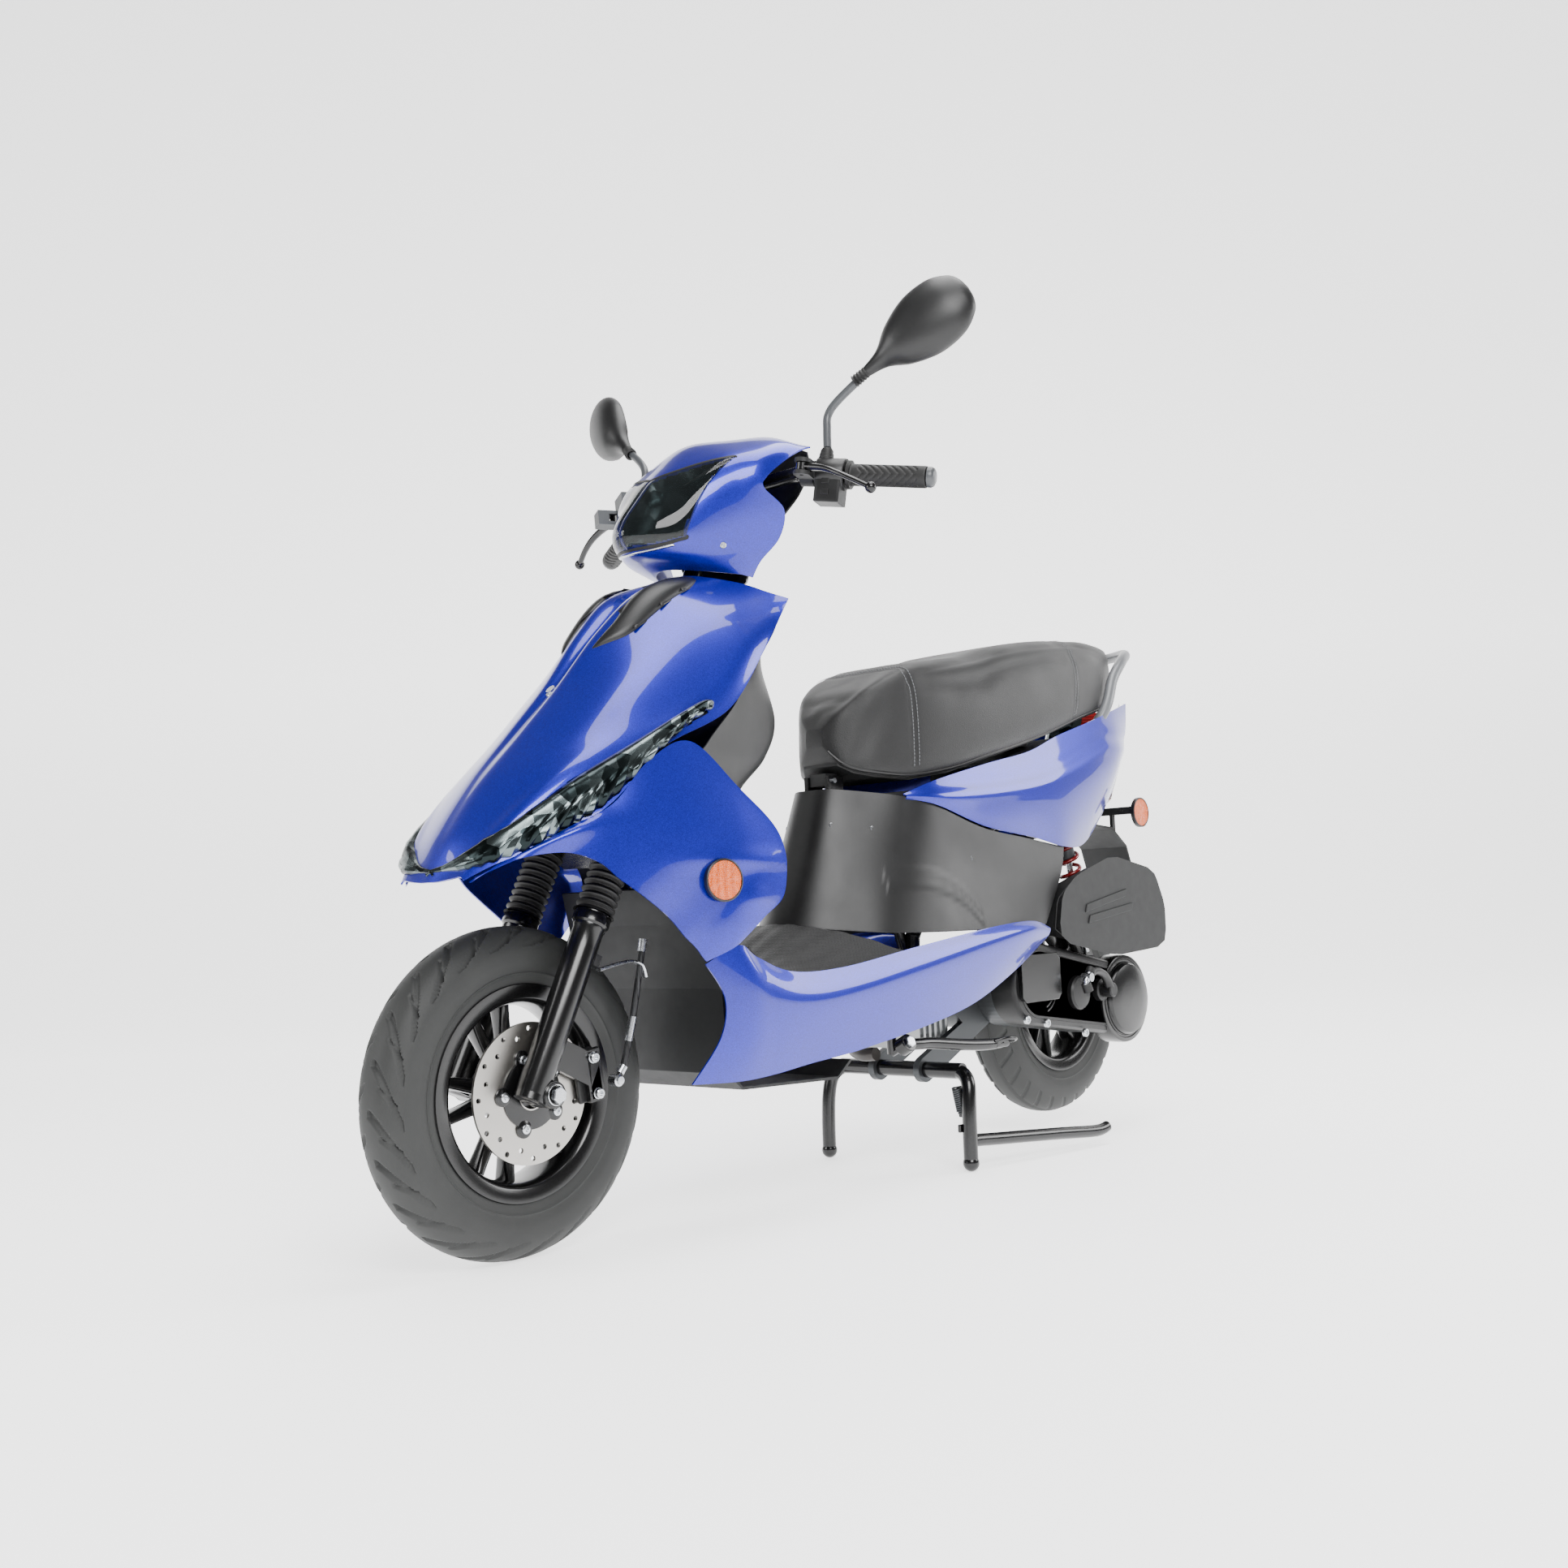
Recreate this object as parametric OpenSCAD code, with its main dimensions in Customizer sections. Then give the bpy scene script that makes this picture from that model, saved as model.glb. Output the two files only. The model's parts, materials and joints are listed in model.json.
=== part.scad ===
/* [Overall] */
// Distance between the two wheel axles
wheelbase = 1255; // [1150:5:1520]
// Width over the ends of the handlebar tube
bar_width = 684; // [600:2:830]
// Outer radius of both tyres
tyre_r = 215; // [208:1:218]
// Height of the rear axle while the centre stand holds the rear wheel up
rear_axle_z = 246; // [240:1:252]

/* [Steering and fork] */
// Lean of the steering axis from the vertical, in degrees
rake = 27; // [25:0.5:29]
// Distance of each fork leg from the middle
leg_y = 75; // [71:1:84]
// Radius of the chromed fork tubes
stanchion_r = 15; // [12:0.5:18]
// Outer radius of the fork sliders
slider_r = 21; // [20:0.5:23]
// Radius of the steering stem
stem_r = 14; // [11:0.5:17]
// Wall of the head tube
head_wall = 4; // [3:0.5:6]
// Radius of the handlebar tube
bar_r = 11; // [9:0.5:13]
// Length of each grip
grip_len = 118; // [100:1:130]

/* [Wheels] */
// Half of the tyre's width
tyre_half = 42.5; // [36:0.5:46]
// Radius of the rim where the tyre's beads sit
bead_r = 127; // [122:1:132]
// Number of spoke pairs in each wheel
spoke_pairs = 5; // [3:1:7]
// Radius of both wheel axles
axle_r = 6; // [5:0.5:7.5]
// Radius of the brake disc
disc_r = 91; // [80:1:95]
// Thickness of the brake disc
disc_t = 4; // [3:0.5:5]

/* [Body] */
// Thickness of the moulded body panels
panel_t = 3; // [2:0.25:4]
// Radius of the frame's main tube
main_tube_r = 20; // [17:1:24]
// Radius of the frame's side tubes
side_tube_r = 12; // [10:0.5:14]
// Radius of the round side reflectors
reflector_r = 29; // [22:1:32]

/* [Engine and stands] */
// Radius of the engine pivot bolt
pivot_r = 6; // [5:0.5:8]
// Radius of the stand's cross tube
stand_tube_r = 13; // [11:0.5:15]
// Radius of the kick starter's shaft
kick_shaft_r = 7; // [6:0.5:9]
// Radius of the belt case's round end cap
end_cap_r = 80; // [70:1:84]

/* [Clearances] */
// Radial play between a shaft and the hole it turns or slides in
run_fit = 0.05; // [0.02:0.01:0.1]
// Gap between pieces that only lie against each other
face_gap = 0.3; // [0.2:0.05:0.5]

/* [Hidden] */
$fn = 48;

// The front half moves ahead and the rear half back by the same share of a longer wheelbase.
nominal_wheelbase = 1255;
shift = (wheelbase - nominal_wheelbase) / 2;
floor_front = 380;
floor_rear = 120;
// The guide curves below are drawn with the front axle at x = 700; this puts the origin at the middle.
to_middle = -15;

blue = "mediumblue";
black = "dimgray";
dark = [0.15, 0.15, 0.16];
steel = "silver";

// ---------- surfaces ----------
function crom(a, b, c, d, t) =
    0.5 * (2 * b + (c - a) * t + (2 * a - 5 * b + 4 * c - d) * t * t + (3 * b - a - 3 * c + d) * t * t * t);
function spline(p, n) = let (m = len(p) - 1)
    [for (i = [0 : m - 1]) for (k = [0 : n - 1])
        crom(p[max(i - 1, 0)], p[i], p[i + 1], p[min(i + 2, m)], k / n), p[m]];
function flip(g) = [for (j = [0 : len(g[0]) - 1]) [for (r = g) r[j]]];
function patch(g, nu, nv) = flip([for (c = flip([for (r = g) spline(r, nu)])) spline(c, nv)]);
function both_sides(g) = concat([for (i = [len(g) - 1 : -1 : 1]) [for (p = g[i]) [p[0], -p[1], p[2]]]], g);
function other_side(g) = [for (i = [len(g) - 1 : -1 : 0]) [for (p = g[i]) [p[0], -p[1], p[2]]]];
// Points behind the floor move back, points ahead of it move forward, the floor stretches.
function along(x) = to_middle + shift * (2 * min(1, max(0, (x - floor_rear) / (floor_front - floor_rear))) - 1);
function placed(g) = [for (r = g) [for (p = r) [p[0] + along(p[0]), p[1], p[2]]]];
function unit(v) = v / max(norm(v), 1e-6);
function grid_normal(g, i, j) = let (r = len(g) - 1, c = len(g[0]) - 1)
    unit(cross(g[i][min(j + 1, c)] - g[i][max(j - 1, 0)], g[min(i + 1, r)][j] - g[max(i - 1, 0)][j]));
function sunk(g, depth) = [for (i = [0 : len(g) - 1]) [for (j = [0 : len(g[0]) - 1])
    g[i][j] - grid_normal(g, i, j) * depth]];

// A sheet of the given thickness under a grid of points; its outer face looks along the grid's normals.
module sheet(g, t) {
    rows = len(g);
    cols = len(g[0]);
    count = rows * cols;
    under = sunk(g, t);
    points = [for (s = [g, under]) for (r = s) for (p = r) p];
    top = [for (i = [0 : rows - 2]) for (j = [0 : cols - 2]) let (a = i * cols + j)
        each [[a, a + cols, a + 1], [a + 1, a + cols, a + cols + 1]]];
    bottom = [for (f = top) [f[2] + count, f[1] + count, f[0] + count]];
    ring = concat([for (j = [0 : cols - 2]) j],
        [for (i = [0 : rows - 2]) i * cols + cols - 1],
        [for (j = [cols - 1 : -1 : 1]) (rows - 1) * cols + j],
        [for (i = [rows - 1 : -1 : 1]) i * cols]);
    n = len(ring);
    rim = [for (k = [0 : n - 1]) let (a = ring[k], b = ring[(k + 1) % n])
        each [[a, b, b + count], [a, b + count, a + count]]];
    polyhedron(points, concat(top, bottom, rim), convexity = 6);
}

// A closed solid through rings of points, capped at both ends.
module loft(rings) {
    n = len(rings[0]);
    m = len(rings);
    points = [for (r = rings) for (p = r) p];
    walls = [for (i = [0 : m - 2]) for (j = [0 : n - 1]) let (a = i * n + j, b = i * n + (j + 1) % n)
        each [[a, b, b + n], [a, b + n, a + n]]];
    polyhedron(points, concat(walls, [[for (j = [n - 1 : -1 : 0]) j]],
        [[for (j = [0 : n - 1]) (m - 1) * n + j]]), convexity = 4);
}

// ---------- small shapes ----------
module rod(a, b, r) {
    v = b - a;
    translate(a) rotate([0, acos(v[2] / norm(v)), atan2(v[1], v[0])]) cylinder(r = r, h = norm(v));
}
// A bent tube: rings of a flat-sided circle carried along a smooth path.
module bent_tube(p, r, ref = [0.13, 0.05, 1], sides = 10, steps = 2) {
    q = spline(p, steps);
    m = len(q) - 1;
    loft([for (i = [0 : m]) let (t = unit(q[min(i + 1, m)] - q[max(i - 1, 0)]), u = unit(cross(ref, t)), v = cross(u, t))
        [for (k = [0 : sides - 1]) q[i] + r * (u * cos(k * 360 / sides) + v * sin(k * 360 / sides))]]);
}
module across(x, z, r, y0, y1) translate([x, y0, z]) rotate([-90, 0, 0]) cylinder(r = r, h = y1 - y0);
module slab(y0, y1) translate([0, y1, 0]) rotate([90, 0, 0]) linear_extrude(y1 - y0) children();
module pair() {
    children();
    mirror([0, 1, 0]) children();
}
module front_group() translate([to_middle + shift, 0, 0]) children();
module rear_group() translate([to_middle - shift, 0, 0]) children();
// A strip of even thickness along a row of (x, z) points.
module strip(p, t) for (i = [0 : len(p) - 2]) hull() {
    translate(p[i]) circle(r = t / 2, $fn = 12);
    translate(p[i + 1]) circle(r = t / 2, $fn = 12);
}

// ---------- steering geometry ----------
front_axle_z = tyre_r;
steer_foot = [691.5, 0, 215];
leg_x = 27;
axle_x = 7.6;
axle_up = -3.9;
slider_low = -20;
slider_top = 238;
stanchion_low = 70;
yoke_low = 332;
yoke_top = 358;
head_low = 372;
head_top = 560;
stem_top = 930;
bar_up = 959;
module steer() front_group() translate([steer_foot[0], 0, steer_foot[2] + front_axle_z - 215])
    rotate([0, -rake, 0]) children();
function bar_end(side) = [178, side * bar_width / 2, 1042];
bar_dir = unit([-50, 106, -18]);
function bar_at(side, back) = bar_end(side) - back * [bar_dir[0], side * bar_dir[1], bar_dir[2]];
// Puts local +X along the grip, outwards, with the grip's outer end at the origin.
module at_bar_end(side) front_group() translate(bar_end(side))
    turned_to_bar(side) children();
bar_yaw = atan2(bar_dir[1], bar_dir[0]);
bar_pitch = -asin(bar_dir[2]);
module turned_to_bar(side) rotate([0, bar_pitch, side * bar_yaw]) children();

// ---------- body panels: guide curves in the scooter's own frame ----------
shield_half = [
    [[812, 0, 489], [788, 0, 545], [735, 0, 615], [665, 0, 683], [600, 0, 745], [530, 0, 818], [455, 0, 882], [375, 0, 928]],
    [[811, 18, 489], [785, 24, 547], [730, 26, 618], [660, 26, 689], [595, 26, 756], [528, 32, 834], [458, 42, 894], [365, 48, 924]],
    [[810, 42, 491], [772, 64, 550], [708, 84, 617], [632, 96, 680], [560, 102, 745], [485, 104, 806], [405, 106, 862], [318, 92, 912]],
    [[808, 60, 493], [758, 94, 557], [685, 118, 615], [595, 136, 663], [525, 146, 700], [450, 152, 745], [375, 152, 812], [290, 125, 896]],
    [[808, 66, 489], [780, 88, 506], [740, 111, 524], [640, 147, 576], [548, 158, 655], [428, 165, 712], [345, 158, 800], [275, 150, 885]]];
wing = [
    [[795, 74, 494], [742, 112, 523], [690, 136, 552], [632, 151, 581], [575, 163, 622], [515, 178, 611], [425, 198, 582], [372, 206, 520], [375, 206, 460], [415, 202, 425], [452, 192, 394]],
    [[797, 71, 491], [747, 111, 520], [688, 143, 545], [632, 158, 558], [580, 172, 566], [520, 188, 548], [463, 199, 518], [442, 202, 478], [448, 201, 440], [460, 196, 410], [470, 189, 384]],
    [[800, 67, 488], [754, 108, 513], [702, 133, 520], [662, 152, 506], [636, 161, 484], [603, 168, 461], [565, 172, 433], [540, 176, 406], [522, 178, 390], [512, 179, 378], [505, 179, 371]]];
skirt = [
    [[505, 177, 367], [452, 187, 389], [415, 184, 371], [340, 180, 346], [225, 178, 345], [45, 176, 365], [-155, 172, 385], [-280, 168, 390], [-345, 160, 376]],
    [[476, 182, 320], [430, 193, 330], [385, 193, 315], [310, 191, 306], [205, 189, 312], [35, 187, 336], [-150, 181, 363], [-270, 175, 377], [-341, 162, 372]],
    [[483, 178, 268], [430, 187, 266], [380, 186, 262], [305, 184, 264], [200, 182, 274], [30, 180, 297], [-145, 175, 328], [-260, 170, 354], [-336, 160, 364]],
    [[528, 166, 211], [440, 169, 206], [370, 168, 208], [290, 167, 215], [190, 166, 222], [20, 164, 243], [-115, 160, 268], [-240, 155, 312], [-326, 152, 352]]];
cover_half = [
    [[78, 0, 618], [116, 0, 520], [160, 0, 424]],
    [[70, 35, 618], [108, 38, 520], [150, 42, 422]],
    [[28, 72, 612], [68, 78, 515], [113, 84, 418]],
    [[-20, 108, 603], [10, 116, 507], [52, 132, 412]],
    [[-75, 130, 588], [-62, 138, 498], [-45, 157, 408]],
    [[-195, 137, 551], [-195, 145, 480], [-190, 161, 407]],
    [[-330, 133, 533], [-325, 146, 465], [-300, 156, 402]],
    [[-455, 126, 517], [-420, 139, 468], [-350, 148, 398]]];
tail = [
    [[-20, 112, 606], [-80, 130, 628], [-220, 134, 659], [-350, 132, 684], [-450, 128, 716], [-570, 122, 748], [-665, 110, 773], [-768, 86, 798]],
    [[-22, 116, 603], [-78, 139, 604], [-215, 146, 608], [-348, 148, 616], [-448, 146, 634], [-566, 138, 655], [-665, 123, 685], [-742, 92, 712]],
    [[-24, 113, 600], [-76, 133, 590], [-198, 139, 554], [-345, 135, 535], [-458, 127, 518], [-560, 101, 524], [-650, 82, 570], [-716, 76, 628]]];
lamp_outline = [[812, 498], [764, 551], [689, 606], [600, 655], [530, 692], [470, 722], [442, 716], [508, 684], [572, 636],
    [642, 580], [738, 527], [783, 510]];
vent_outline = [[556, 30], [520, 62], [450, 70], [392, 72], [372, 50], [440, 42]];
eye_outline = [[0, 1076], [30, 1083], [108, 1096], [100, 1062], [86, 1018], [70, 972], [30, 962], [0, 960]];
cowl_half = [
    [[195, 0, 1155], [265, 0, 1150], [325, 0, 1138], [378, 0, 1095], [425, 0, 1045], [465, 0, 990], [448, 0, 958], [405, 0, 948], [383, 0, 940]],
    [[196, 42, 1152], [262, 42, 1148], [318, 42, 1134], [370, 42, 1094], [412, 40, 1045], [444, 38, 990], [428, 36, 956], [392, 36, 945], [365, 35, 937]],
    [[205, 90, 1148], [250, 90, 1146], [300, 92, 1125], [347, 95, 1094], [382, 90, 1048], [402, 74, 985], [386, 68, 957], [356, 64, 943], [330, 60, 934]],
    [[221, 135, 1130], [250, 135, 1128], [290, 135, 1108], [318, 131, 1084], [332, 122, 1048], [335, 108, 1000], [320, 94, 968], [306, 82, 946], [295, 76, 932]],
    [[228, 166, 1118], [247, 160, 1110], [274, 151, 1090], [300, 142, 1066], [303, 138, 1050], [266, 142, 1022], [256, 122, 985], [270, 94, 952], [270, 76, 930]]];
dash_half = [
    [[192, 0, 1151], [168, 0, 1112], [172, 0, 1060], [196, 0, 1010], [206, 0, 985], [218, 0, 950], [224, 0, 933]],
    [[194, 50, 1149], [172, 50, 1110], [176, 50, 1060], [200, 46, 1010], [212, 40, 985], [228, 30, 950], [234, 28, 933]],
    [[207, 108, 1134], [192, 104, 1104], [198, 100, 1058], [224, 86, 1010], [234, 74, 985], [250, 56, 950], [254, 50, 932]],
    [[225, 158, 1112], [214, 150, 1088], [226, 138, 1050], [250, 118, 1010], [252, 102, 985], [264, 72, 950], [264, 58, 931]]];
leg_half = [
    [[298, 0, 903], [268, 0, 850], [250, 0, 790], [232, 0, 720], [262, 0, 660], [320, 0, 600], [365, 0, 500], [395, 0, 425], [403, 0, 398]],
    [[290, 60, 897], [270, 60, 850], [254, 60, 790], [236, 60, 720], [270, 62, 658], [328, 64, 600], [370, 66, 500], [397, 66, 425], [405, 66, 398]],
    [[281, 112, 880], [288, 108, 845], [292, 105, 790], [272, 105, 712], [307, 112, 655], [376, 118, 595], [388, 125, 500], [404, 126, 425], [421, 126, 398]],
    [[282, 141, 872], [308, 148, 833], [352, 148, 780], [402, 154, 722], [464, 159, 665], [513, 168, 606], [400, 192, 500], [416, 186, 425], [428, 170, 398]]];

// ---------- chassis ----------
seat_pin = [50, 0, 634];
swing_pin = [-38, 0, 345];
shock_top = [-500, 84, 640];
stand_pin = [-118, 0, 156];
stand_pin_r = 5;
side_stand_pin = [40, 138, 214];
side_stand_axis = unit([9, 89, 45]);
rail_points = [[405, 112, 318], [360, 112, 262], [60, 112, 262], [-20, 108, 300], [-90, 112, 480], [-620, 95, 700]];
module frame() color("black") {
    difference() {
        union() {
            steer() translate([0, 0, head_low]) cylinder(r = stem_r + 2.6 + head_wall, h = head_top - head_low);
            front_group() {
                rod([488, 0, 612], [405, 0, 318], main_tube_r);
                rod([484, 0, 632], [676, 0, 626], 8);
                rod([672, 0, 620], [698.17, 0, 646.85], 9);
                across(405, 318, side_tube_r + 2, -112, 112);
            }
            for (s = [-1, 1]) {
                bent_tube([for (p = rail_points) [p[0] + along(p[0]), s * p[1], p[2]]], side_tube_r);
                rear_group() rod([-30, s * 106, 310], [30, s * 62, 590], 9);
                rear_group() translate([swing_pin[0] - 14, s * 90 - 20, swing_pin[2] - 20]) cube([40, 40, 34]);
            }
            rear_group() {
                across(30, 590, 11, -66, 66);
                across(-78, 445.7, 9, -110, 110);
                across(-620, 700, 9, -121.5, 121.5);
                for (s = [-1, 1]) translate([seat_pin[0] - 24, s * 22 - 4, 586]) cube([36, 8, 56]);
                translate([shock_top[0] - 18, shock_top[1] - 9, shock_top[2] + 2]) cube([36, 40, 16]);
            }
            rear_group() {
                rod(side_stand_pin - 32 * side_stand_axis, side_stand_pin + 13 * side_stand_axis, stand_pin_r);
                rod(side_stand_pin - 32 * side_stand_axis, [44, 112, 264], 8);
            }
        }
        steer() translate([0, 0, head_low - 1]) cylinder(r = stem_r + 2.6, h = head_top - head_low + 2);
        rear_group() {
            across(swing_pin[0], swing_pin[2], pivot_r + run_fit, -130, 130);
            across(seat_pin[0], seat_pin[2], 4 + run_fit, -40, 40);
        }
    }
}

module lamp_prism(grow) front_group() slab(20, 210) offset(delta = grow) polygon(lamp_outline);
module vent_prism(grow) front_group() translate([0, 0, 700]) linear_extrude(220)
    offset(delta = grow) polygon(vent_outline);
shield_grid = placed(patch(both_sides(shield_half), 2, 1));
module front_shield() color(blue) {
    difference() {
        sheet(shield_grid, panel_t);
        pair() lamp_prism(0);
        pair() vent_prism(0);
    }
    sheet(placed(patch(wing, 1, 2)), panel_t);
    sheet(placed(patch(other_side(wing), 1, 2)), panel_t);
}
module turn_lamps() color("lightsteelblue") pair() intersection() {
    sheet(sunk(shield_grid, 0.5), panel_t);
    lamp_prism(-face_gap);
}
module shield_vents() color(dark) pair() intersection() {
    sheet(sunk(shield_grid, panel_t + 4 * face_gap), panel_t);
    vent_prism(5);
}
module leg_shield() color(black) difference() {
    sheet(placed(patch(other_side_up(leg_half), 1, 1)), panel_t);
    at_lock() translate([0, 0, -60]) cylinder(r = lock_r + face_gap, h = 120);
}
function other_side_up(g) = let (b = both_sides(g)) [for (i = [len(b) - 1 : -1 : 0]) b[i]];
module side_skirts() color(blue) {
    sheet(placed(patch(skirt, 2, 1)), panel_t);
    sheet(placed(patch(other_side(skirt), 2, 1)), panel_t);
}
floor_half = [
    [[397.2, 0, 384], [366, 0, 357], [320, 0, 352], [260, 0, 372], [205, 0, 398], [172, 0, 410]],
    [[396, 60, 384], [366, 60, 357], [320, 60, 351], [260, 60, 368], [200, 60, 394], [165, 60, 405]],
    [[402, 120, 384], [370, 120, 355], [320, 120, 349], [260, 120, 354], [180, 120, 372], [120, 118, 388]],
    [[416, 174, 386], [372, 174, 350], [320, 174, 344], [250, 174, 342], [150, 172, 348], [60, 171, 358]]];
module floorboard() color(dark) sheet(placed(patch(other_side_up(floor_half), 1, 1)), 6);
tray_points = [[471.4, 470], [460, 420], [446, 330], [443, 260], [440, 215], [415, 192], [215, 184], [186, 206]];
module under_tray() color(dark) slab(-150, 150)
    strip([for (p = tray_points) [p[0] + along(p[0]), p[1]]], 4);
module underseat_cover() color(black)
    sheet(placed(patch(other_side_up(cover_half), 2, 1)), panel_t);
module tail_panels() color(blue) difference() {
    union() {
        sheet(placed(patch(tail, 1, 2)), panel_t);
        sheet(placed(patch(other_side(tail), 1, 2)), panel_t);
    }
    rear_group() pair() rod(rail_half[1], rail_half[2] + [-8, 6, 16], rail_r + 3);
}
tail_lamp_half = [
    [[-885, 0, 796], [-845, 0, 698], [-800, 0, 606]],
    [[-862, 26, 797], [-826, 30, 700], [-782, 28, 608]],
    [[-820, 58, 800], [-790, 62, 706], [-752, 54, 616]],
    [[-769.4, 85.6, 798], [-743.4, 91.6, 712], [-717.4, 75.6, 628]]];
module tail_lamp() color("firebrick") sheet(placed(patch(other_side_up(tail_lamp_half), 2, 2)), 5);
rail_r = 10;
rail_half = [[-612, 92, 713], [-618, 95, 728], [-650, 115, 782], [-690, 109, 838], [-742, 100, 878], [-800, 72, 899]];
module grab_rail() color("gray") rear_group() {
    last = len(rail_half) - 1;
    bent_tube(concat(rail_half, [[-846, 0, 903]],
        [for (i = [last : -1 : 0]) [rail_half[i][0], -rail_half[i][1], rail_half[i][2]]]), rail_r);
}
plate_hole_y = 65;
plate_hole_r = 3.2;
fender_points = [[-430, 530], [-560, 550], [-680, 562], [-750, 556], [-800, 520], [-820, 470]];
module rear_fender() color(dark) rear_group() {
    slab(-52, 52) strip(fender_points, 4);
    for (s = [-1, 1]) translate([-626, s * 40 - 4, 556]) cube([12, 8, 134.7]);
    for (s = [-1, 1]) translate([-778, s * 40 - 3, 544]) cube([10, 6, 42]);
    difference() {
        translate([-790, -90, 582]) cube([22, 180, 14]);
        for (s = [-1, 1]) translate([-800, s * plate_hole_y, 589]) rotate([0, 90, 0]) cylinder(r = plate_hole_r, h = 50);
    }
}
module reflectors() color("orange") {
    front_group() pair() translate([486, 197.2, 477]) rotate([-90, 0, -12]) cylinder(r = reflector_r, h = 8);
    rear_group() pair() translate([-786, 90 + face_gap, 584]) rotate([-90, 0, 0]) cylinder(r = reflector_r, h = 10);
}
bucket = [[-10, 610], [-330, 636], [-330, 560], [-240, 455], [-30, 455]];
module storage_bucket() color(black) rear_group() difference() {
    slab(-84, 84) polygon(bucket);
    slab(-81, 81) polygon([[-9, 650], [-327, 680], [-327, 561], [-238, 458], [-33, 458]]);
}
tank = [[-345, 600], [-345, 668], [-420, 690], [-590, 728], [-605, 640], [-560, 600]];
module fuel_tank() color("black") rear_group() {
    difference() {
        slab(-78, 56) polygon(tank);
        slab(-76, 54) offset(delta = -2) polygon(tank);
    }
    translate([-500, 0, 708.4]) rotate([0, -12, 0]) cylinder(r = 26, h = 14);
}
lock_at = [246, -62, 800];
lock_r = 13;
module at_lock() front_group() translate(lock_at) rotate([0, -90, 0]) children();
module ignition_lock() color(steel) at_lock() difference() {
    translate([0, 0, -40]) cylinder(r = lock_r, h = 52);
    translate([0, 0, -30]) cylinder(r = 5 + run_fit, h = 60);
}
module ignition_key() color("black") at_lock() {
    translate([0, 0, -29]) cylinder(r = 5, h = 45);
    translate([-2.5, -12, 16]) cube([5, 24, 22]);
}
module head_bearings() color(steel) steer() for (z = [yoke_top + 0.1, head_top + 0.1]) difference() {
    translate([0, 0, z]) cylinder(r = stem_r + 2.6 + head_wall, h = head_low - yoke_top - 0.2);
    translate([0, 0, z - 1]) cylinder(r = stem_r + run_fit, h = head_low - yoke_top + 2);
}
module body_screws() color(steel) {
    front_group() translate([603, 0, 748]) rotate([0, 45, 0]) cylinder(r = 7, h = 3);
    rear_group() {
        across(swing_pin[0], swing_pin[2], pivot_r, -123, 123);
        pair() across(swing_pin[0], swing_pin[2], pivot_r + 4, 122, 129);
        across(seat_pin[0], seat_pin[2], 4, -30, 30);
    }
}

// ---------- seat ----------
seat_stations = [[62, 18, 690, 722], [50, 44, 662, 745], [30, 64, 649, 768], [0, 88, 642, 794], [-60, 112, 637, 822],
    [-150, 128, 650, 836], [-250, 136, 676, 852], [-360, 137, 702, 872], [-470, 131, 731, 888], [-580, 116, 761, 898],
    [-680, 96, 784, 903], [-750, 72, 808, 902], [-790, 42, 832, 894]];
function seat_ring(s) = [for (q = [[0, 0], [0.85, 0], [0.97, 0.12], [1, 0.35], [0.96, 0.75], [0.8, 0.96], [0.4, 1]])
    [s[0], s[1] * q[0], s[2] + (s[3] - s[2]) * q[1]]];
function full_ring(h) = concat(h, [[h[0][0], 0, h[6][2]]], [for (i = [6 : -1 : 1]) [h[i][0], -h[i][1], h[i][2]]]);
module seat_cushion() color("black") loft(placed([for (s = seat_stations) full_ring(seat_ring(s))]));
module seat_pan() color(dark) difference() {
    union() {
        loft(placed([for (i = [1 : 11]) let (s = seat_stations[i], w = s[1] * 0.82)
            [[s[0], -w, s[2] - 5], [s[0], w, s[2] - 5], [s[0], w, s[2] - face_gap], [s[0], -w, s[2] - face_gap]]]));
        rear_group() translate([seat_pin[0] - 30, -17.5, seat_pin[2] - 8]) cube([38, 35, 20]);
    }
    rear_group() across(seat_pin[0], seat_pin[2], 4 + run_fit, -40, 40);
}

// ---------- steering ----------
module fork_yoke() color("black") steer() {
    difference() {
        union() {
            translate([0, 0, yoke_low]) cylinder(r = 30, h = yoke_top - yoke_low);
            translate([-14, -leg_y, yoke_low]) cube([leg_x + 22, 2 * leg_y, yoke_top - yoke_low]);
            pair() translate([leg_x, leg_y, yoke_low]) cylinder(r = stanchion_r + 7, h = yoke_top - yoke_low);
            upright(0, 0, yoke_low, stem_top, stem_r);
        }
        pair() upright(leg_x, leg_y, yoke_low - 5, yoke_top + 5, stanchion_r + 0.02);
    }
    pair() upright(leg_x, leg_y, stanchion_low, yoke_top + 4, stanchion_r);
    difference() {
        upright(0, 0, head_top + 14.1, head_top + 27, stem_r + 9);
        upright(0, 0, head_top + 10, head_top + 30, stem_r + 0.02);
    }
}
module upright(x, y, z0, z1, r) translate([x, y, z0]) cylinder(r = r, h = z1 - z0);
grip_start = grip_len + 2;
bar_bend = grip_start + 72;
module handlebar() color("black") difference() {
    union() {
        front_group() {
            rod(bar_at(-1, bar_bend), bar_at(1, bar_bend), bar_r);
            for (s = [-1, 1]) {
                rod(bar_at(s, bar_bend), bar_at(s, 0), bar_r);
                translate(bar_at(s, bar_bend)) sphere(bar_r + 0.8);
            }
        }
        steer() upright(0, 0, stem_top - 70, bar_up - 2, stem_r + 5);
        front_group() rod([259, 0, 1071], [259, 0, 1147], 7);
    }
    steer() upright(0, 0, stem_top - 80, stem_top + 1, stem_r + 0.02);
}
cowl_grid = placed(patch(both_sides(cowl_half), 2, 1));
module eye_prism(grow) front_group() pair() translate([300, 0, 0]) rotate([90, 0, 90]) linear_extrude(220)
    offset(delta = grow) polygon(eye_outline);
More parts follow.
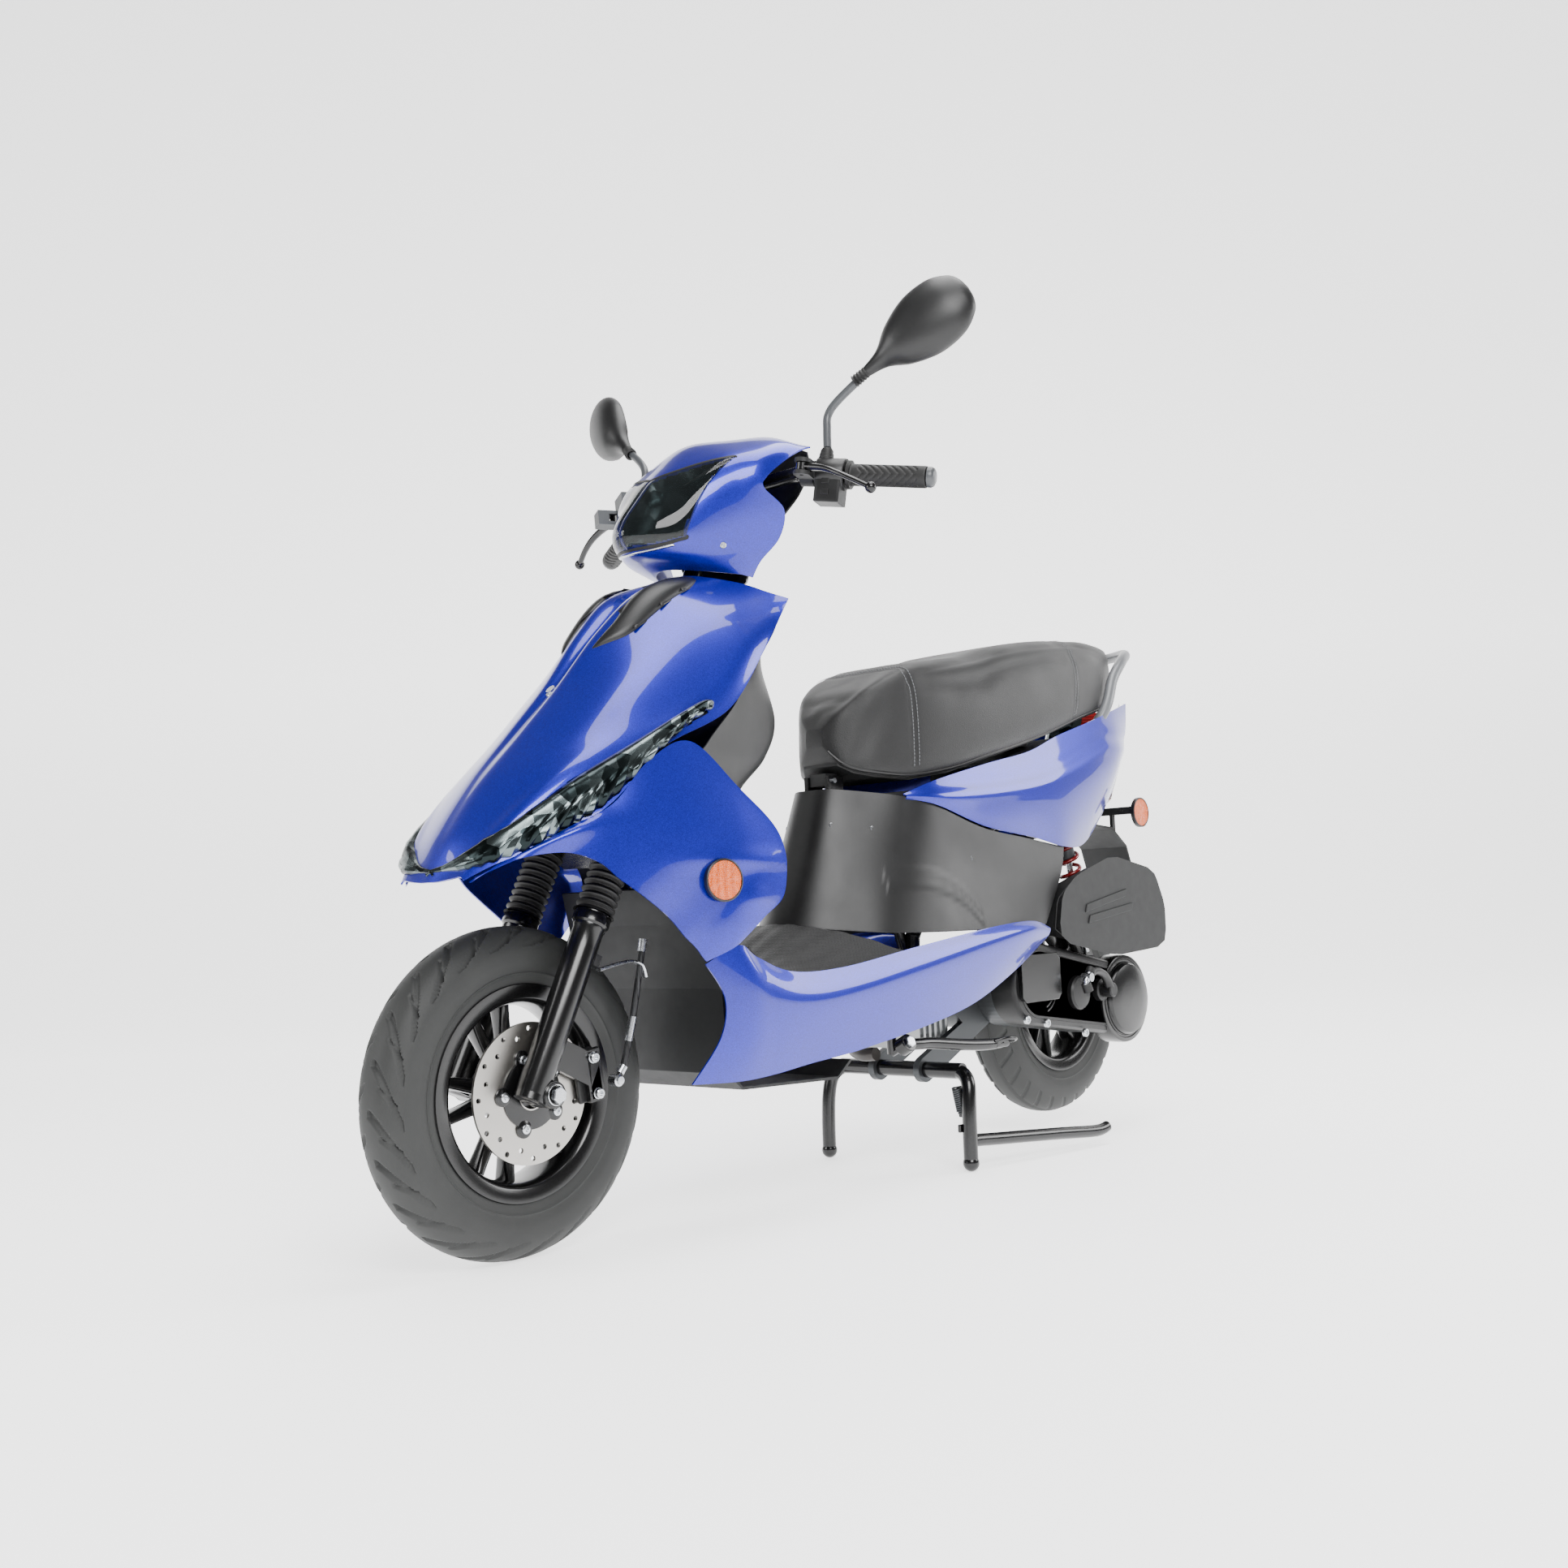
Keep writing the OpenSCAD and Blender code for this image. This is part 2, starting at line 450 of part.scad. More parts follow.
module headlamp_cowl() color(blue) difference() {
    sheet(cowl_grid, panel_t);
    eye_prism(0);
}
module headlamp() color("lightsteelblue") intersection() {
    sheet(sunk(cowl_grid, 0.5), panel_t);
    eye_prism(-face_gap);
}
module dash_cover() color(black) sheet(placed(patch(other_side_up(dash_half), 1, 1)), panel_t);
module switch_left() color(black) difference() {
    at_bar_end(1) {
        switch_shell();
        translate([lever_x - 12, 0, 0]) rotate([0, 90, 0]) cylinder(r = 19, h = 20);
        perch(1);
    }
    bar_bore(1);
    button_bore(1);
    lever_slot(1);
    stem_bore(1);
}
module switch_right() color(black) difference() {
    at_bar_end(-1) switch_shell();
    bar_bore(-1);
    button_bore(-1);
    stem_bore(-1);
}
// The switch body lies between the grip's flange and the lever's clamp.
lever_x = -grip_start - 56;
lever_y = 42;
module switch_shell() {
    translate([-grip_start - 44, 0, 0]) rotate([0, 90, 0]) cylinder(r = 23, h = 43);
    translate([-grip_start - 42, -20, -44]) cube([38, 40, 44]);
    translate([mirror_x, 0, 10]) cylinder(r = 10, h = 20);
}
mirror_x = -grip_start - 34;
stem_screw_r = 5;
module stem_bore(side) at_bar_end(side) translate([mirror_x, 0, 14]) cylinder(r = stem_screw_r + 0.02, h = 30);
// The lever's clamp: two ears above and below the lever, joined to the bar.
module perch(side) {
    translate([lever_x - 12, side * 10 - side * lever_y - (side > 0 ? 10 : 0), -12]) cube([24, lever_y, 24]);
    translate([lever_x, -side * lever_y, -12]) cylinder(r = 12, h = 24);
}
module lever_slot(side) at_bar_end(side) {
    translate([lever_x, -side * lever_y, -6.2]) cylinder(r = 14, h = 12.4);
    translate([lever_x - 14, -side * (lever_y + 7) - 7, -6.2]) cube([60, 14, 12.4]);
    translate([lever_x, -side * lever_y, -30]) cylinder(r = lever_pin_r + run_fit, h = 60);
}
lever_pin_r = 3;
module bar_bore(side) at_bar_end(side) translate([-300, 0, 0]) rotate([0, 90, 0])
    cylinder(r = bar_r + 0.02, h = 330);
button_r = 6;
function button_x(side) = -grip_start - (side > 0 ? 24 : 33);
module button_bore(side) at_bar_end(side) translate([button_x(side), side * 12, -30]) rotate([-side * 90, 0, 0])
    cylinder(r = button_r + run_fit, h = 40);
module button(side) at_bar_end(side) translate([button_x(side), side * 15, -30]) rotate([-side * 90, 0, 0])
    cylinder(r = button_r, h = 9);
module horn_button() color("gold") button(1);
module starter_button() color("gold") button(-1);
module left_grip() color(dark) difference() {
    at_bar_end(1) {
        translate([-grip_len, 0, 0]) rotate([0, 90, 0]) cylinder(r = 16, h = grip_len);
        translate([-grip_len, 0, 0]) rotate([0, 90, 0]) cylinder(r = 21, h = 5);
        rotate([0, 90, 0]) cylinder(r = 15, h = 12);
    }
    at_bar_end(1) translate([-300, 0, 0]) rotate([0, 90, 0]) cylinder(r = bar_r + 0.02, h = 300);
}
module throttle_grip() color(dark) difference() {
    at_bar_end(-1) {
        translate([-grip_len, 0, 0]) rotate([0, 90, 0]) cylinder(r = 16, h = grip_len);
        translate([-grip_len, 0, 0]) rotate([0, 90, 0]) cylinder(r = 21, h = 5);
        rotate([0, 90, 0]) cylinder(r = 15, h = 12);
    }
    at_bar_end(-1) translate([-300, 0, 0]) rotate([0, 90, 0]) cylinder(r = bar_r + run_fit, h = 300);
}
module master_cylinder() color("black") difference() {
    at_bar_end(-1) {
        translate([lever_x - 12, 0, 0]) rotate([0, 90, 0]) cylinder(r = 19, h = 20);
        perch(-1);
        translate([lever_x - 42, 16, -6]) cube([40, 26, 38]);
    }
    bar_bore(-1);
    lever_slot(-1);
}
lever_tip = [-62, 75, -34];
module brake_lever(side) at_bar_end(side) {
    translate([lever_x, -side * lever_y, -6]) cylinder(r = 9, h = 12);
    translate([lever_x, -side * lever_y, -11]) cylinder(r = lever_pin_r, h = 22);
    bent_tube([[lever_x + 4, -side * lever_y, 0], [lever_x + 34, -side * (lever_y + 14), -4],
        [-100, -side * (lever_y + 30), -18], [lever_tip[0], -side * lever_tip[1], lever_tip[2]]], 5, sides = 8);
    translate([lever_tip[0], -side * lever_tip[1], lever_tip[2]]) sphere(7.5);
}
module brake_lever_left() color("black") brake_lever(1);
module brake_lever_right() color("black") brake_lever(-1);
stem_path = [[235, 205, 1105], [226, 196, 1158], [212, 234, 1191], [204, 261, 1211]];
module mirror_stems() color("gray") {
    front_group() pair() bent_tube(stem_path, 6, ref = [1, 0.2, 0], sides = 8);
    for (side = [-1, 1]) at_bar_end(side) translate([mirror_x, 0, 16]) cylinder(r = stem_screw_r, h = 26);
}
head_hub = [204, 263, 1213];
mirror_rings = [[0, 8, 9], [31, 15, 14], [64, 32, 26], [104, 43, 30], [144, 41, 27], [174, 27, 17], [185, 9, 7]];
mirror_axis = unit([-50, 105, 76]);
mirror_side = unit(cross([-1, -0.25, 0.08], mirror_axis));
mirror_back = cross(mirror_axis, mirror_side);
function mirror_ring(q) = [for (k = [0 : 11]) let (a = k * 30)
    head_hub + mirror_axis * (q[0] - 1.4) + mirror_side * cos(a) * q[1] - mirror_back * max(-8, sin(a) * q[2])];
module mirror_left() color("black") front_group() loft([for (q = mirror_rings) mirror_ring(q)]);
module mirror_right() color("black") mirror([0, 1, 0]) mirror_left();

// ---------- fork, front wheel and brake ----------
module fork_sliders() color("black") steer() difference() {
    union() {
        pair() {
            upright(leg_x, leg_y, slider_low, slider_top, slider_r);
            upright(leg_x, leg_y, slider_top - 14, slider_top, slider_r + 4);
            translate([axle_x, leg_y - 17, axle_up]) rotate([-90, 0, 0]) cylinder(r = 17, h = 17 + boss_out);
            translate([axle_x, leg_y - 14, axle_up - 17]) cube([leg_x - axle_x, 28, 34]);
        }
        translate([-70, lug_y, 34]) cube([leg_x + 70, lug_t, 40]);
        at_caliper() translate([13, lug_y, -34]) cube([26, lug_t, 68]);
        translate([leg_x - slider_r - 12, leg_y - 5, 176]) cube([30, 10, 16]);
    }
    pair() upright(leg_x, leg_y, 8, slider_top + 5, stanchion_r + run_fit);
    translate([axle_x, -150, axle_up]) rotate([-90, 0, 0]) cylinder(r = axle_r + run_fit, h = 300);
    at_caliper() for (z = caliper_bolts) translate([26, 40, z]) rotate([-90, 0, 0]) cylinder(r = 4.1, h = 40);
}
boss_out = slider_r + 1;
lug_y = 58;
lug_t = 8;
caliper_bolts = [-24, 24];
// The caliper hangs behind the leg; local +X points from the axle outwards, from the pad's inner edge.
module at_caliper() translate([axle_x, 0, axle_up]) rotate([0, -145, 0]) translate([disc_r - 23, 0, 0]) children();
module front_axle() color(steel) front_group() {
    across(700, front_axle_z, axle_r, -leg_y - boss_out - 13, leg_y + boss_out + 13);
    difference() {
        across(700, front_axle_z, 12, leg_y + boss_out + face_gap, leg_y + boss_out + 10);
        across(700, front_axle_z, axle_r - 0.5, leg_y, leg_y + 40);
    }
    difference() {
        across(700, front_axle_z, 12, -leg_y - boss_out - 10, -leg_y - boss_out - face_gap);
        across(700, front_axle_z, axle_r - 0.5, -leg_y - 40, -leg_y);
    }
}
module brake_caliper() color("black") steer() at_caliper() {
    difference() {
        translate([0, 37, -36]) cube([50, lug_y - face_gap - 37, 72]);
        translate([-5, 46 - disc_t / 2 - 0.8, -40]) cube([33, disc_t + 1.6, 80]);
    }
    for (z = caliper_bolts) translate([26, 0, z]) rotate([-90, 0, 0]) {
        translate([0, 0, lug_y - 5]) cylinder(r = 4, h = 20);
        translate([0, 0, lug_y + lug_t + face_gap]) cylinder(r = 7, h = 6);
    }
}
hose = [[526, 81, 403], [532, 80, 370], [545, 76, 300], [562, 72, 236], [575, 70, 218]];
module brake_line() color("gray") front_group() {
    bent_tube(hose, 5, ref = [1, 0, 0], sides = 8);
    translate([531, leg_y + 5.2, 362]) cube([78, 6, 12]);
}
module fork_gaiters() color("black") steer() pair() difference() {
    upright(leg_x, leg_y, slider_top + face_gap, yoke_low - face_gap, stanchion_r + 8);
    upright(leg_x, leg_y, slider_top - 1, yoke_low + 1, stanchion_r + 0.2);
}
module tyre() rotate([-90, 0, 0]) rotate_extrude($fn = 96) polygon([
    for (p = [[bead_r, -29.6], [bead_r + 11.4, -31.6], [bead_r + 14, -36], [168, -tyre_half], [190, -tyre_half + 3], [206, -28], [213, -14], [tyre_r, 0]]) p,
    for (p = [[213, 14], [206, 28], [190, tyre_half - 3], [168, tyre_half], [bead_r + 14, 36],
        [bead_r + 11.4, 31.6], [bead_r, 29.6]]) p,
    [bead_r, 20], [150, 30], [185, 32], [203, 14], [205, 0], [203, -14], [185, -32], [150, -30], [bead_r, -20]]);
module rim(hub_half, bore) difference() {
    union() {
        rotate([-90, 0, 0]) rotate_extrude($fn = 96) polygon([[118, -34], [bead_r + 11, -36], [bead_r + 11, -32], [bead_r - 0.3, -30],
            [bead_r - 0.3, -18], [119, -12], [119, 12], [bead_r - 0.3, 18], [bead_r - 0.3, 30], [bead_r + 11, 32], [bead_r + 11, 36],
            [118, 34], [113, 10], [113, -10]]);
        rotate([-90, 0, 0]) translate([0, 0, -hub_half]) cylinder(r = 34, h = 2 * hub_half);
        for (k = [0 : spoke_pairs - 1]) for (s = [-13, 13]) rotate([0, k * 360 / spoke_pairs + s, 0])
            translate([28, -9, -7]) cube([88, 18, 14]);
    }
    rotate([-90, 0, 0]) translate([0, 0, -100]) cylinder(r = bore, h = 200);
}
module at_front_wheel() front_group() translate([700, 0, front_axle_z]) children();
module at_rear_wheel() rear_group() translate([-555, 0, rear_axle_z]) children();
module front_tyre() color(dark) at_front_wheel() tyre();
module rear_tyre() color(dark) at_rear_wheel() tyre();
module front_rim() color("black") at_front_wheel() rim(42, axle_r + run_fit);
module rear_rim() color("black") at_rear_wheel() {
    rim(38, axle_r + 2.02);
    translate([0, -46, 0]) rotate([-90, 0, 0]) cylinder(r = axle_r + 2, h = 116);
}
module brake_disc() color(steel) at_front_wheel() rotate([-90, 0, 0]) difference() {
    union() {
        translate([0, 0, 46 - disc_t / 2]) cylinder(r = disc_r, h = disc_t, $fn = 96);
        translate([0, 0, 42 + 0.1]) cylinder(r = 32, h = 8);
    }
    translate([0, 0, 30]) cylinder(r = 20, h = 40);
    for (k = [0 : 23]) rotate(k * 15) translate([disc_r - (k % 2 == 0 ? 8 : 18), 0, 40])
        cylinder(r = 3.5, h = 12, $fn = 16);
    for (k = [0 : 4]) rotate(k * 72) translate([46, 0, 40]) cylinder(r = 9, h = 12);
}

// ---------- engine and rear end ----------
crank = [-262, 0, 278];
crank_r = 66;
barrel_x = -206;
case_y = 62;
cover_y = 140;
module case_outline(grow) hull() {
    translate([-335, 282]) circle(r = 72 + grow);
    translate([-560, 243]) circle(r = 66 + grow);
}
module crankcase() color("gray") rear_group() difference() {
    union() {
        across(crank[0], crank[2], crank_r, -82, case_y - 8);
        slab(case_y - 9, case_y + 26) case_outline(0);
        for (s = [-1, 1]) {
            slab(s * 56 - 7, s * 56 + 7) hull() {
                translate([swing_pin[0], swing_pin[2]]) circle(r = 15);
                translate([-310, 330]) circle(r = 14);
            }
            slab(s * 48 - 6, s * 48 + 6) hull() {
                translate([stand_pin[0], stand_pin[2]]) circle(r = stand_tube_r + 8);
                translate([-310, 240]) circle(r = 18);
            }
        }
        translate([-600, case_y - 4, 290]) cube([36, 29, 26]);
    }
    across(crank[0], crank[2], crank_r - 14, -76, case_y - 16);
    slab(case_y, case_y + 40) case_outline(-6);
    across(swing_pin[0], swing_pin[2], pivot_r + run_fit, -130, 130);
    across(stand_pin[0], stand_pin[2], stand_tube_r + run_fit, -130, 130);
    across(-555, rear_axle_z, axle_r + 2 + run_fit, 0, 120);
    translate([barrel_x, -41.2, 195]) cube([60, 82.4, 102]);
}
module engine_top() color("silver") rear_group() difference() {
    union() {
        for (k = [0 : 4]) translate([barrel_x + 8 + 15 * k, -41, 200]) cube([6, 82, 96]);
        translate([barrel_x + 0.1, -36, 212]) cube([100, 72, 72]);
        translate([barrel_x + 84, -41, 196]) cube([62, 82, 104]);
    }
    translate([barrel_x - 9, 0, 248]) rotate([0, 90, 0]) cylinder(r = 20, h = 95);
}
module belt_case_cover() color(dark) rear_group() difference() {
    union() {
        slab(case_y + 26 + 0.1, cover_y) case_outline(0);
        across(-608, 236, end_cap_r, 108, cover_y + 4);
        across(-608, 236, end_cap_r - 14, 108, cover_y + 16);
        translate([-385, cover_y - 4, 256]) cube([112, 14, 74]);
    }
    slab(case_y + 20, cover_y - 4) case_outline(-5);
    across(-608, 236, end_cap_r - 5, 104, cover_y);
    across(-608, 236, end_cap_r - 18, 104, cover_y + 12);
    across(-522, 258, kick_shaft_r + run_fit, 100, 160);
}
airbox_y = 110;
airbox_outline = [[-394, 366], [-408, 424], [-448, 450], [-565, 482], [-700, 456], [-728, 400], [-726, 342], [-560, 334]];
module airbox() color(dark) rear_group() difference() {
    union() {
        slab(airbox_y, 160) polygon(airbox_outline);
        translate([-450, 116, 336.4]) cube([20, 20, 23]);
        translate([-550, 116, 316.4]) cube([20, 20, 22]);
    }
    slab(airbox_y + 3, 157) offset(delta = -3) polygon(airbox_outline);
}
module muffler() color("black") rear_group() {
    difference() {
        translate([-330, -122, 250]) rotate([0, -86, 0]) cylinder(r = 48, h = 420);
        translate([-333, -122, 250.3]) rotate([0, -86, 0]) cylinder(r = 46, h = 414);
    }
    bent_tube([[-72, -14, 184], [-74, -44, 182], [-94, -80, 188], [-140, -95, 192], [-240, -108, 206], [-336, -122, 250]], 11);
    translate([-320, -92, 282]) cube([40, 9.8, 14]);
}
stand_foot = [-98, 150, 13];
module centre_stand() color("black") rear_group() {
    across(stand_pin[0], stand_pin[2], stand_tube_r, -128, 128);
    pair() bent_tube([[stand_pin[0], 120, stand_pin[2]], [-112, 140, 146], [-100, 150, 120], stand_foot], 11.5,
        ref = [1, 0, 0]);
    pair() translate(stand_foot) sphere(13);
    bent_tube([[-100, 150, 48], [-150, 157, 46], [-300, 180, 34], [-428, 198, 24]], 10);
    translate([-128, 136, 84]) cube([26, 10, 14]);
}
module side_stand() color("black") {
    rear_group() difference() {
        union() {
            bent_tube([side_stand_pin, [-20, 145, 211], [-90, 157, 202], [-150, 166, 198]], 9);
            translate([-188, 158, 190]) cube([44, 16, 16]);
            rod(side_stand_pin - 10 * side_stand_axis, side_stand_pin + 10 * side_stand_axis, 14);
        }
        rod(side_stand_pin - 40 * side_stand_axis, side_stand_pin + 40 * side_stand_axis, stand_pin_r + run_fit);
    }
}
module kick_lever() color("dimgray") rear_group() {
    across(-522, 258, kick_shaft_r, 110, 172);
    bent_tube([[-522, 165, 258], [-495, 170, 288], [-462, 173, 296], [-434, 174, 286]], 7);
    across(-434, 286, 10, 166, 184);
}
shock_low = [-580, 84, 318];
shock_len = norm(shock_top - shock_low);
shock_tilt = atan2(shock_top[0] - shock_low[0], shock_top[2] - shock_low[2]);
module at_shock() rear_group() translate(shock_low) rotate([0, shock_tilt, 0]) children();
module shock_body() color("black") at_shock() difference() {
    union() {
        upright(0, 0, shock_len - 150, shock_len - 2.5, 14);
        upright(0, 0, shock_len - 40, shock_len - 32, 24);
    }
    upright(0, 0, shock_len - 151, shock_len - 20, 6 + run_fit);
}
module shock_rod() color(steel) at_shock() {
    upright(0, 0, 6, shock_len - 90, 6);
    upright(0, 0, 60, 68, 24);
}
module shock_spring() color("darkred") at_shock() difference() {
    upright(0, 0, 68 + face_gap, shock_len - 40 - face_gap, 22);
    upright(0, 0, 60, shock_len, 16);
}

frame();
front_shield();
leg_shield();
turn_lamps();
shield_vents();
side_skirts();
floorboard();
under_tray();
underseat_cover();
tail_panels();
tail_lamp();
grab_rail();
rear_fender();
reflectors();
storage_bucket();
fuel_tank();
ignition_lock();
head_bearings();
body_screws();
seat_pan();
seat_cushion();
fork_yoke();
handlebar();
headlamp_cowl();
dash_cover();
headlamp();
switch_left();
switch_right();
left_grip();
master_cylinder();
mirror_stems();
throttle_grip();
brake_lever_left();
brake_lever_right();
mirror_left();
mirror_right();
ignition_key();
horn_button();
starter_button();
fork_sliders();
front_axle();
brake_caliper();
brake_line();
fork_gaiters();
front_tyre();
front_rim();
brake_disc();
crankcase();
engine_top();
belt_case_cover();
airbox();
muffler();
rear_tyre();
rear_rim();
centre_stand();
side_stand();
kick_lever();
shock_body();
shock_rod();
shock_spring();
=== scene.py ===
"""A step-through moped scooter: the pieces that show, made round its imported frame."""

import json
import math

import bmesh
import bpy
import numpy as np
from mathutils import Matrix, Vector


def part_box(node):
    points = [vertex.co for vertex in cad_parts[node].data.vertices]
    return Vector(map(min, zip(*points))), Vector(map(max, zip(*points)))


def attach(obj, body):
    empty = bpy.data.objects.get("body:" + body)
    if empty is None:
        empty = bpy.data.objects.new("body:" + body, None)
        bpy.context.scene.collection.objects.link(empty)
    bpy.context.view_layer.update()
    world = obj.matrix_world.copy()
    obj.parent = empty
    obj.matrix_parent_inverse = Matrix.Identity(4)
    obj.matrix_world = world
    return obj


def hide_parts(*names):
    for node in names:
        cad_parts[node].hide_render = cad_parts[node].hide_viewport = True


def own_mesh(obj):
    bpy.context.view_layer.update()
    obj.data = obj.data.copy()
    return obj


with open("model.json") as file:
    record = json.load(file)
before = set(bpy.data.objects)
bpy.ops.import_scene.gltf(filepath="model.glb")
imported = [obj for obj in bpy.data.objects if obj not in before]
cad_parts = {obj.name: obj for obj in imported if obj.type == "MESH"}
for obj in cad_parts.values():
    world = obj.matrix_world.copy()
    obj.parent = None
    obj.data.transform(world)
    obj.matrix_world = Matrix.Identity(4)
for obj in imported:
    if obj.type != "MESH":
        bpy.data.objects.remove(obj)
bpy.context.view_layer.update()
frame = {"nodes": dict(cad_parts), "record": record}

# ---------- Camera ----------
# A standing onlooker's camera, ahead of the scooter on its left, at the height of the wheel's top.
eye = Vector((1.9967, 1.7108, 0.4510))
heading, climb, tilt = 3.88189505, 0.0699285, -0.0464879
gaze = Vector((math.cos(heading) * math.cos(climb), math.sin(heading) * math.cos(climb), math.sin(climb)))
level = gaze.cross(Vector((0, 0, 1))).normalized()
rise = level.cross(gaze)
right = math.cos(tilt) * level + math.sin(tilt) * rise
above = -math.sin(tilt) * level + math.cos(tilt) * rise
lens = bpy.data.cameras.new("camera")
lens.lens, lens.sensor_width, lens.clip_end = 36.98, 36.0, 50.0
camera = bpy.data.objects.new("camera", lens)
turn = Matrix((right, above, -gaze)).transposed()
camera.matrix_world = Matrix.Translation(eye) @ turn.to_4x4()
bpy.context.scene.collection.objects.link(camera)
bpy.context.scene.camera = camera


# ---------- Front shield ----------
# The shield is moulded ABS in one skin with its beak, sprayed in a metallic base and a clear coat.
# It hooks over the head tube's bracket, and one screw holds it in the middle.
def linear(code, alpha=1.0):
    """An sRGB hex colour as linear light: c / 12.92 below 0.04045, else ((c + 0.055) / 1.055) ** 2.4."""
    c = np.array([int(code[i:i + 2], 16) for i in (1, 3, 5)]) / 255
    return (*np.where(c <= 0.04045, c / 12.92, ((c + 0.055) / 1.055) ** 2.4), alpha)


def add_node(tree, kind, settings=None, links=None):
    """Adds a node: settings fill its fields or sockets, links join its sockets to other nodes' outputs."""
    node = tree.nodes.new("ShaderNode" + kind)
    for name, value in (settings or {}).items():
        if isinstance(name, int) or name in node.inputs:
            node.inputs[name].default_value = value
        else:
            setattr(node, name, value)
    for name, output in (links or {}).items():
        tree.links.new(output, node.inputs[name])
    return node


def finish(name, code, metallic=0.0, roughness=0.5, **shader):
    """A material with one Principled shader: returns it, its tree and the shader."""
    made = bpy.data.materials.new(name)
    made.use_nodes = True
    tree = made.node_tree
    core = tree.nodes["Principled BSDF"]
    core.inputs["Base Color"].default_value = linear(code)
    core.inputs["Metallic"].default_value = metallic
    core.inputs["Roughness"].default_value = roughness
    for key, value in shader.items():
        core.inputs[key.replace("_", " ")].default_value = value
    return made, tree, core


def relief(tree, core, height, depth, strength=1.0):
    """Joins a height pattern to the shader's normal, at its real depth in metres."""
    bump = add_node(tree, "Bump", {"Strength": strength, "Distance": depth}, {"Height": height})
    tree.links.new(bump.outputs["Normal"], core.inputs["Normal"])


def clearcoat_blue():
    """Metallic base under two-pack lacquer: aluminium flakes, drawn 0.7 mm wide, glint in a deep cobalt."""
    made, tree, core = finish("lacquered_metallic", "#080a88", 0.6, 0.34, Coat_Weight=0.75,
                              Coat_Roughness=0.05)
    place = add_node(tree, "TexCoord")
    flake = add_node(tree, "TexVoronoi", {"Scale": 1 / 0.0007}, {"Vector": place.outputs["Object"]})
    glint = add_node(tree, "ValToRGB", {}, {"Fac": flake.outputs["Color"]})
    glint.color_ramp.elements[0].color = linear("#07086a")
    glint.color_ramp.elements[1].color = linear("#161cc0")
    tree.links.new(glint.outputs["Color"], core.inputs["Base Color"])
    wave = add_node(tree, "TexNoise", {"Scale": 1 / 0.03, "Detail": 2.0}, {"Vector": place.outputs["Object"]})
    relief(tree, core, wave.outputs["Fac"], 0.0002, 0.15)
    return made


blue = clearcoat_blue()
axle_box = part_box("front_axle")
TO_FRAME = np.array([(axle_box[0][0] + axle_box[1][0]) / 2 - 0.7, 0, 0])


def guides(rows):
    """Guide points in millimetres, drawn with the front axle at x = 700, in the frame's metres."""
    return np.asarray(rows, float) / 1000 + TO_FRAME


def smooth(points, steps):
    """A Catmull-Rom curve along axis 0. Between p1 and p2 it is half of
    2 p1 + (p2 - p0) t + (2 p0 - 5 p1 + 4 p2 - p3) t^2 + (3 p1 - p0 - 3 p2 + p3) t^3."""
    p = np.asarray(points, float)
    ends = np.concatenate([p[:1], p, p[-1:]])
    spans = len(p) - 1
    at = np.linspace(0, spans, spans * steps + 1)
    k = np.minimum(at.astype(int), spans - 1)
    t = (at - k).reshape(-1, *[1] * (p.ndim - 1))
    a, b, c, d = ends[k], ends[k + 1], ends[k + 2], ends[k + 3]
    return 0.5 * (2 * b + (c - a) * t + (2 * a - 5 * b + 4 * c - d) * t**2 + (3 * b - a - 3 * c + d) * t**3)


def skin(rows, across, along):
    """A surface through guide rows: the curve of smooth() taken first along the rows, then across them."""
    return smooth(smooth(rows, across).swapaxes(0, 1), along).swapaxes(0, 1)


def mirrored(rows):
    """The rows of one half, led by their reflections in the middle plane."""
    return np.concatenate([rows[:0:-1] * [1, -1, 1], rows])


def other_side(part):
    """The reflection of a part in the middle plane, with its faces wound the other way."""
    points, faces = part
    return points * [1, -1, 1], [f[:, ::-1] for f in faces]


def normals(g):
    """Unit normals of a grid: its difference along a row crossed with its difference from row to row."""
    n = np.cross(np.gradient(g, axis=1), np.gradient(g, axis=0))
    return n / np.maximum(np.linalg.norm(n, axis=2, keepdims=True), 1e-12)


def quads(g, ring=False, caps=False, keep=None):
    """A grid's points and its quads. ring closes each row on itself, caps closes the first and last row,
    and keep marks the quads that stay."""
    rows, cols = g.shape[:2]
    index = np.arange(rows * cols).reshape(rows, cols)
    if ring:
        index = np.concatenate([index, index[:, :1]], axis=1)
    f = np.stack([index[:-1, :-1], index[:-1, 1:], index[1:, 1:], index[1:, :-1]], axis=-1)
    f = f[keep] if keep is not None else f.reshape(-1, 4)
    faces = [f]
    if caps:
        faces += [index[:1, -2::-1] if ring else index[:1, ::-1], index[-1:, :-1] if ring else index[-1:]]
    return g.reshape(-1, 3), faces


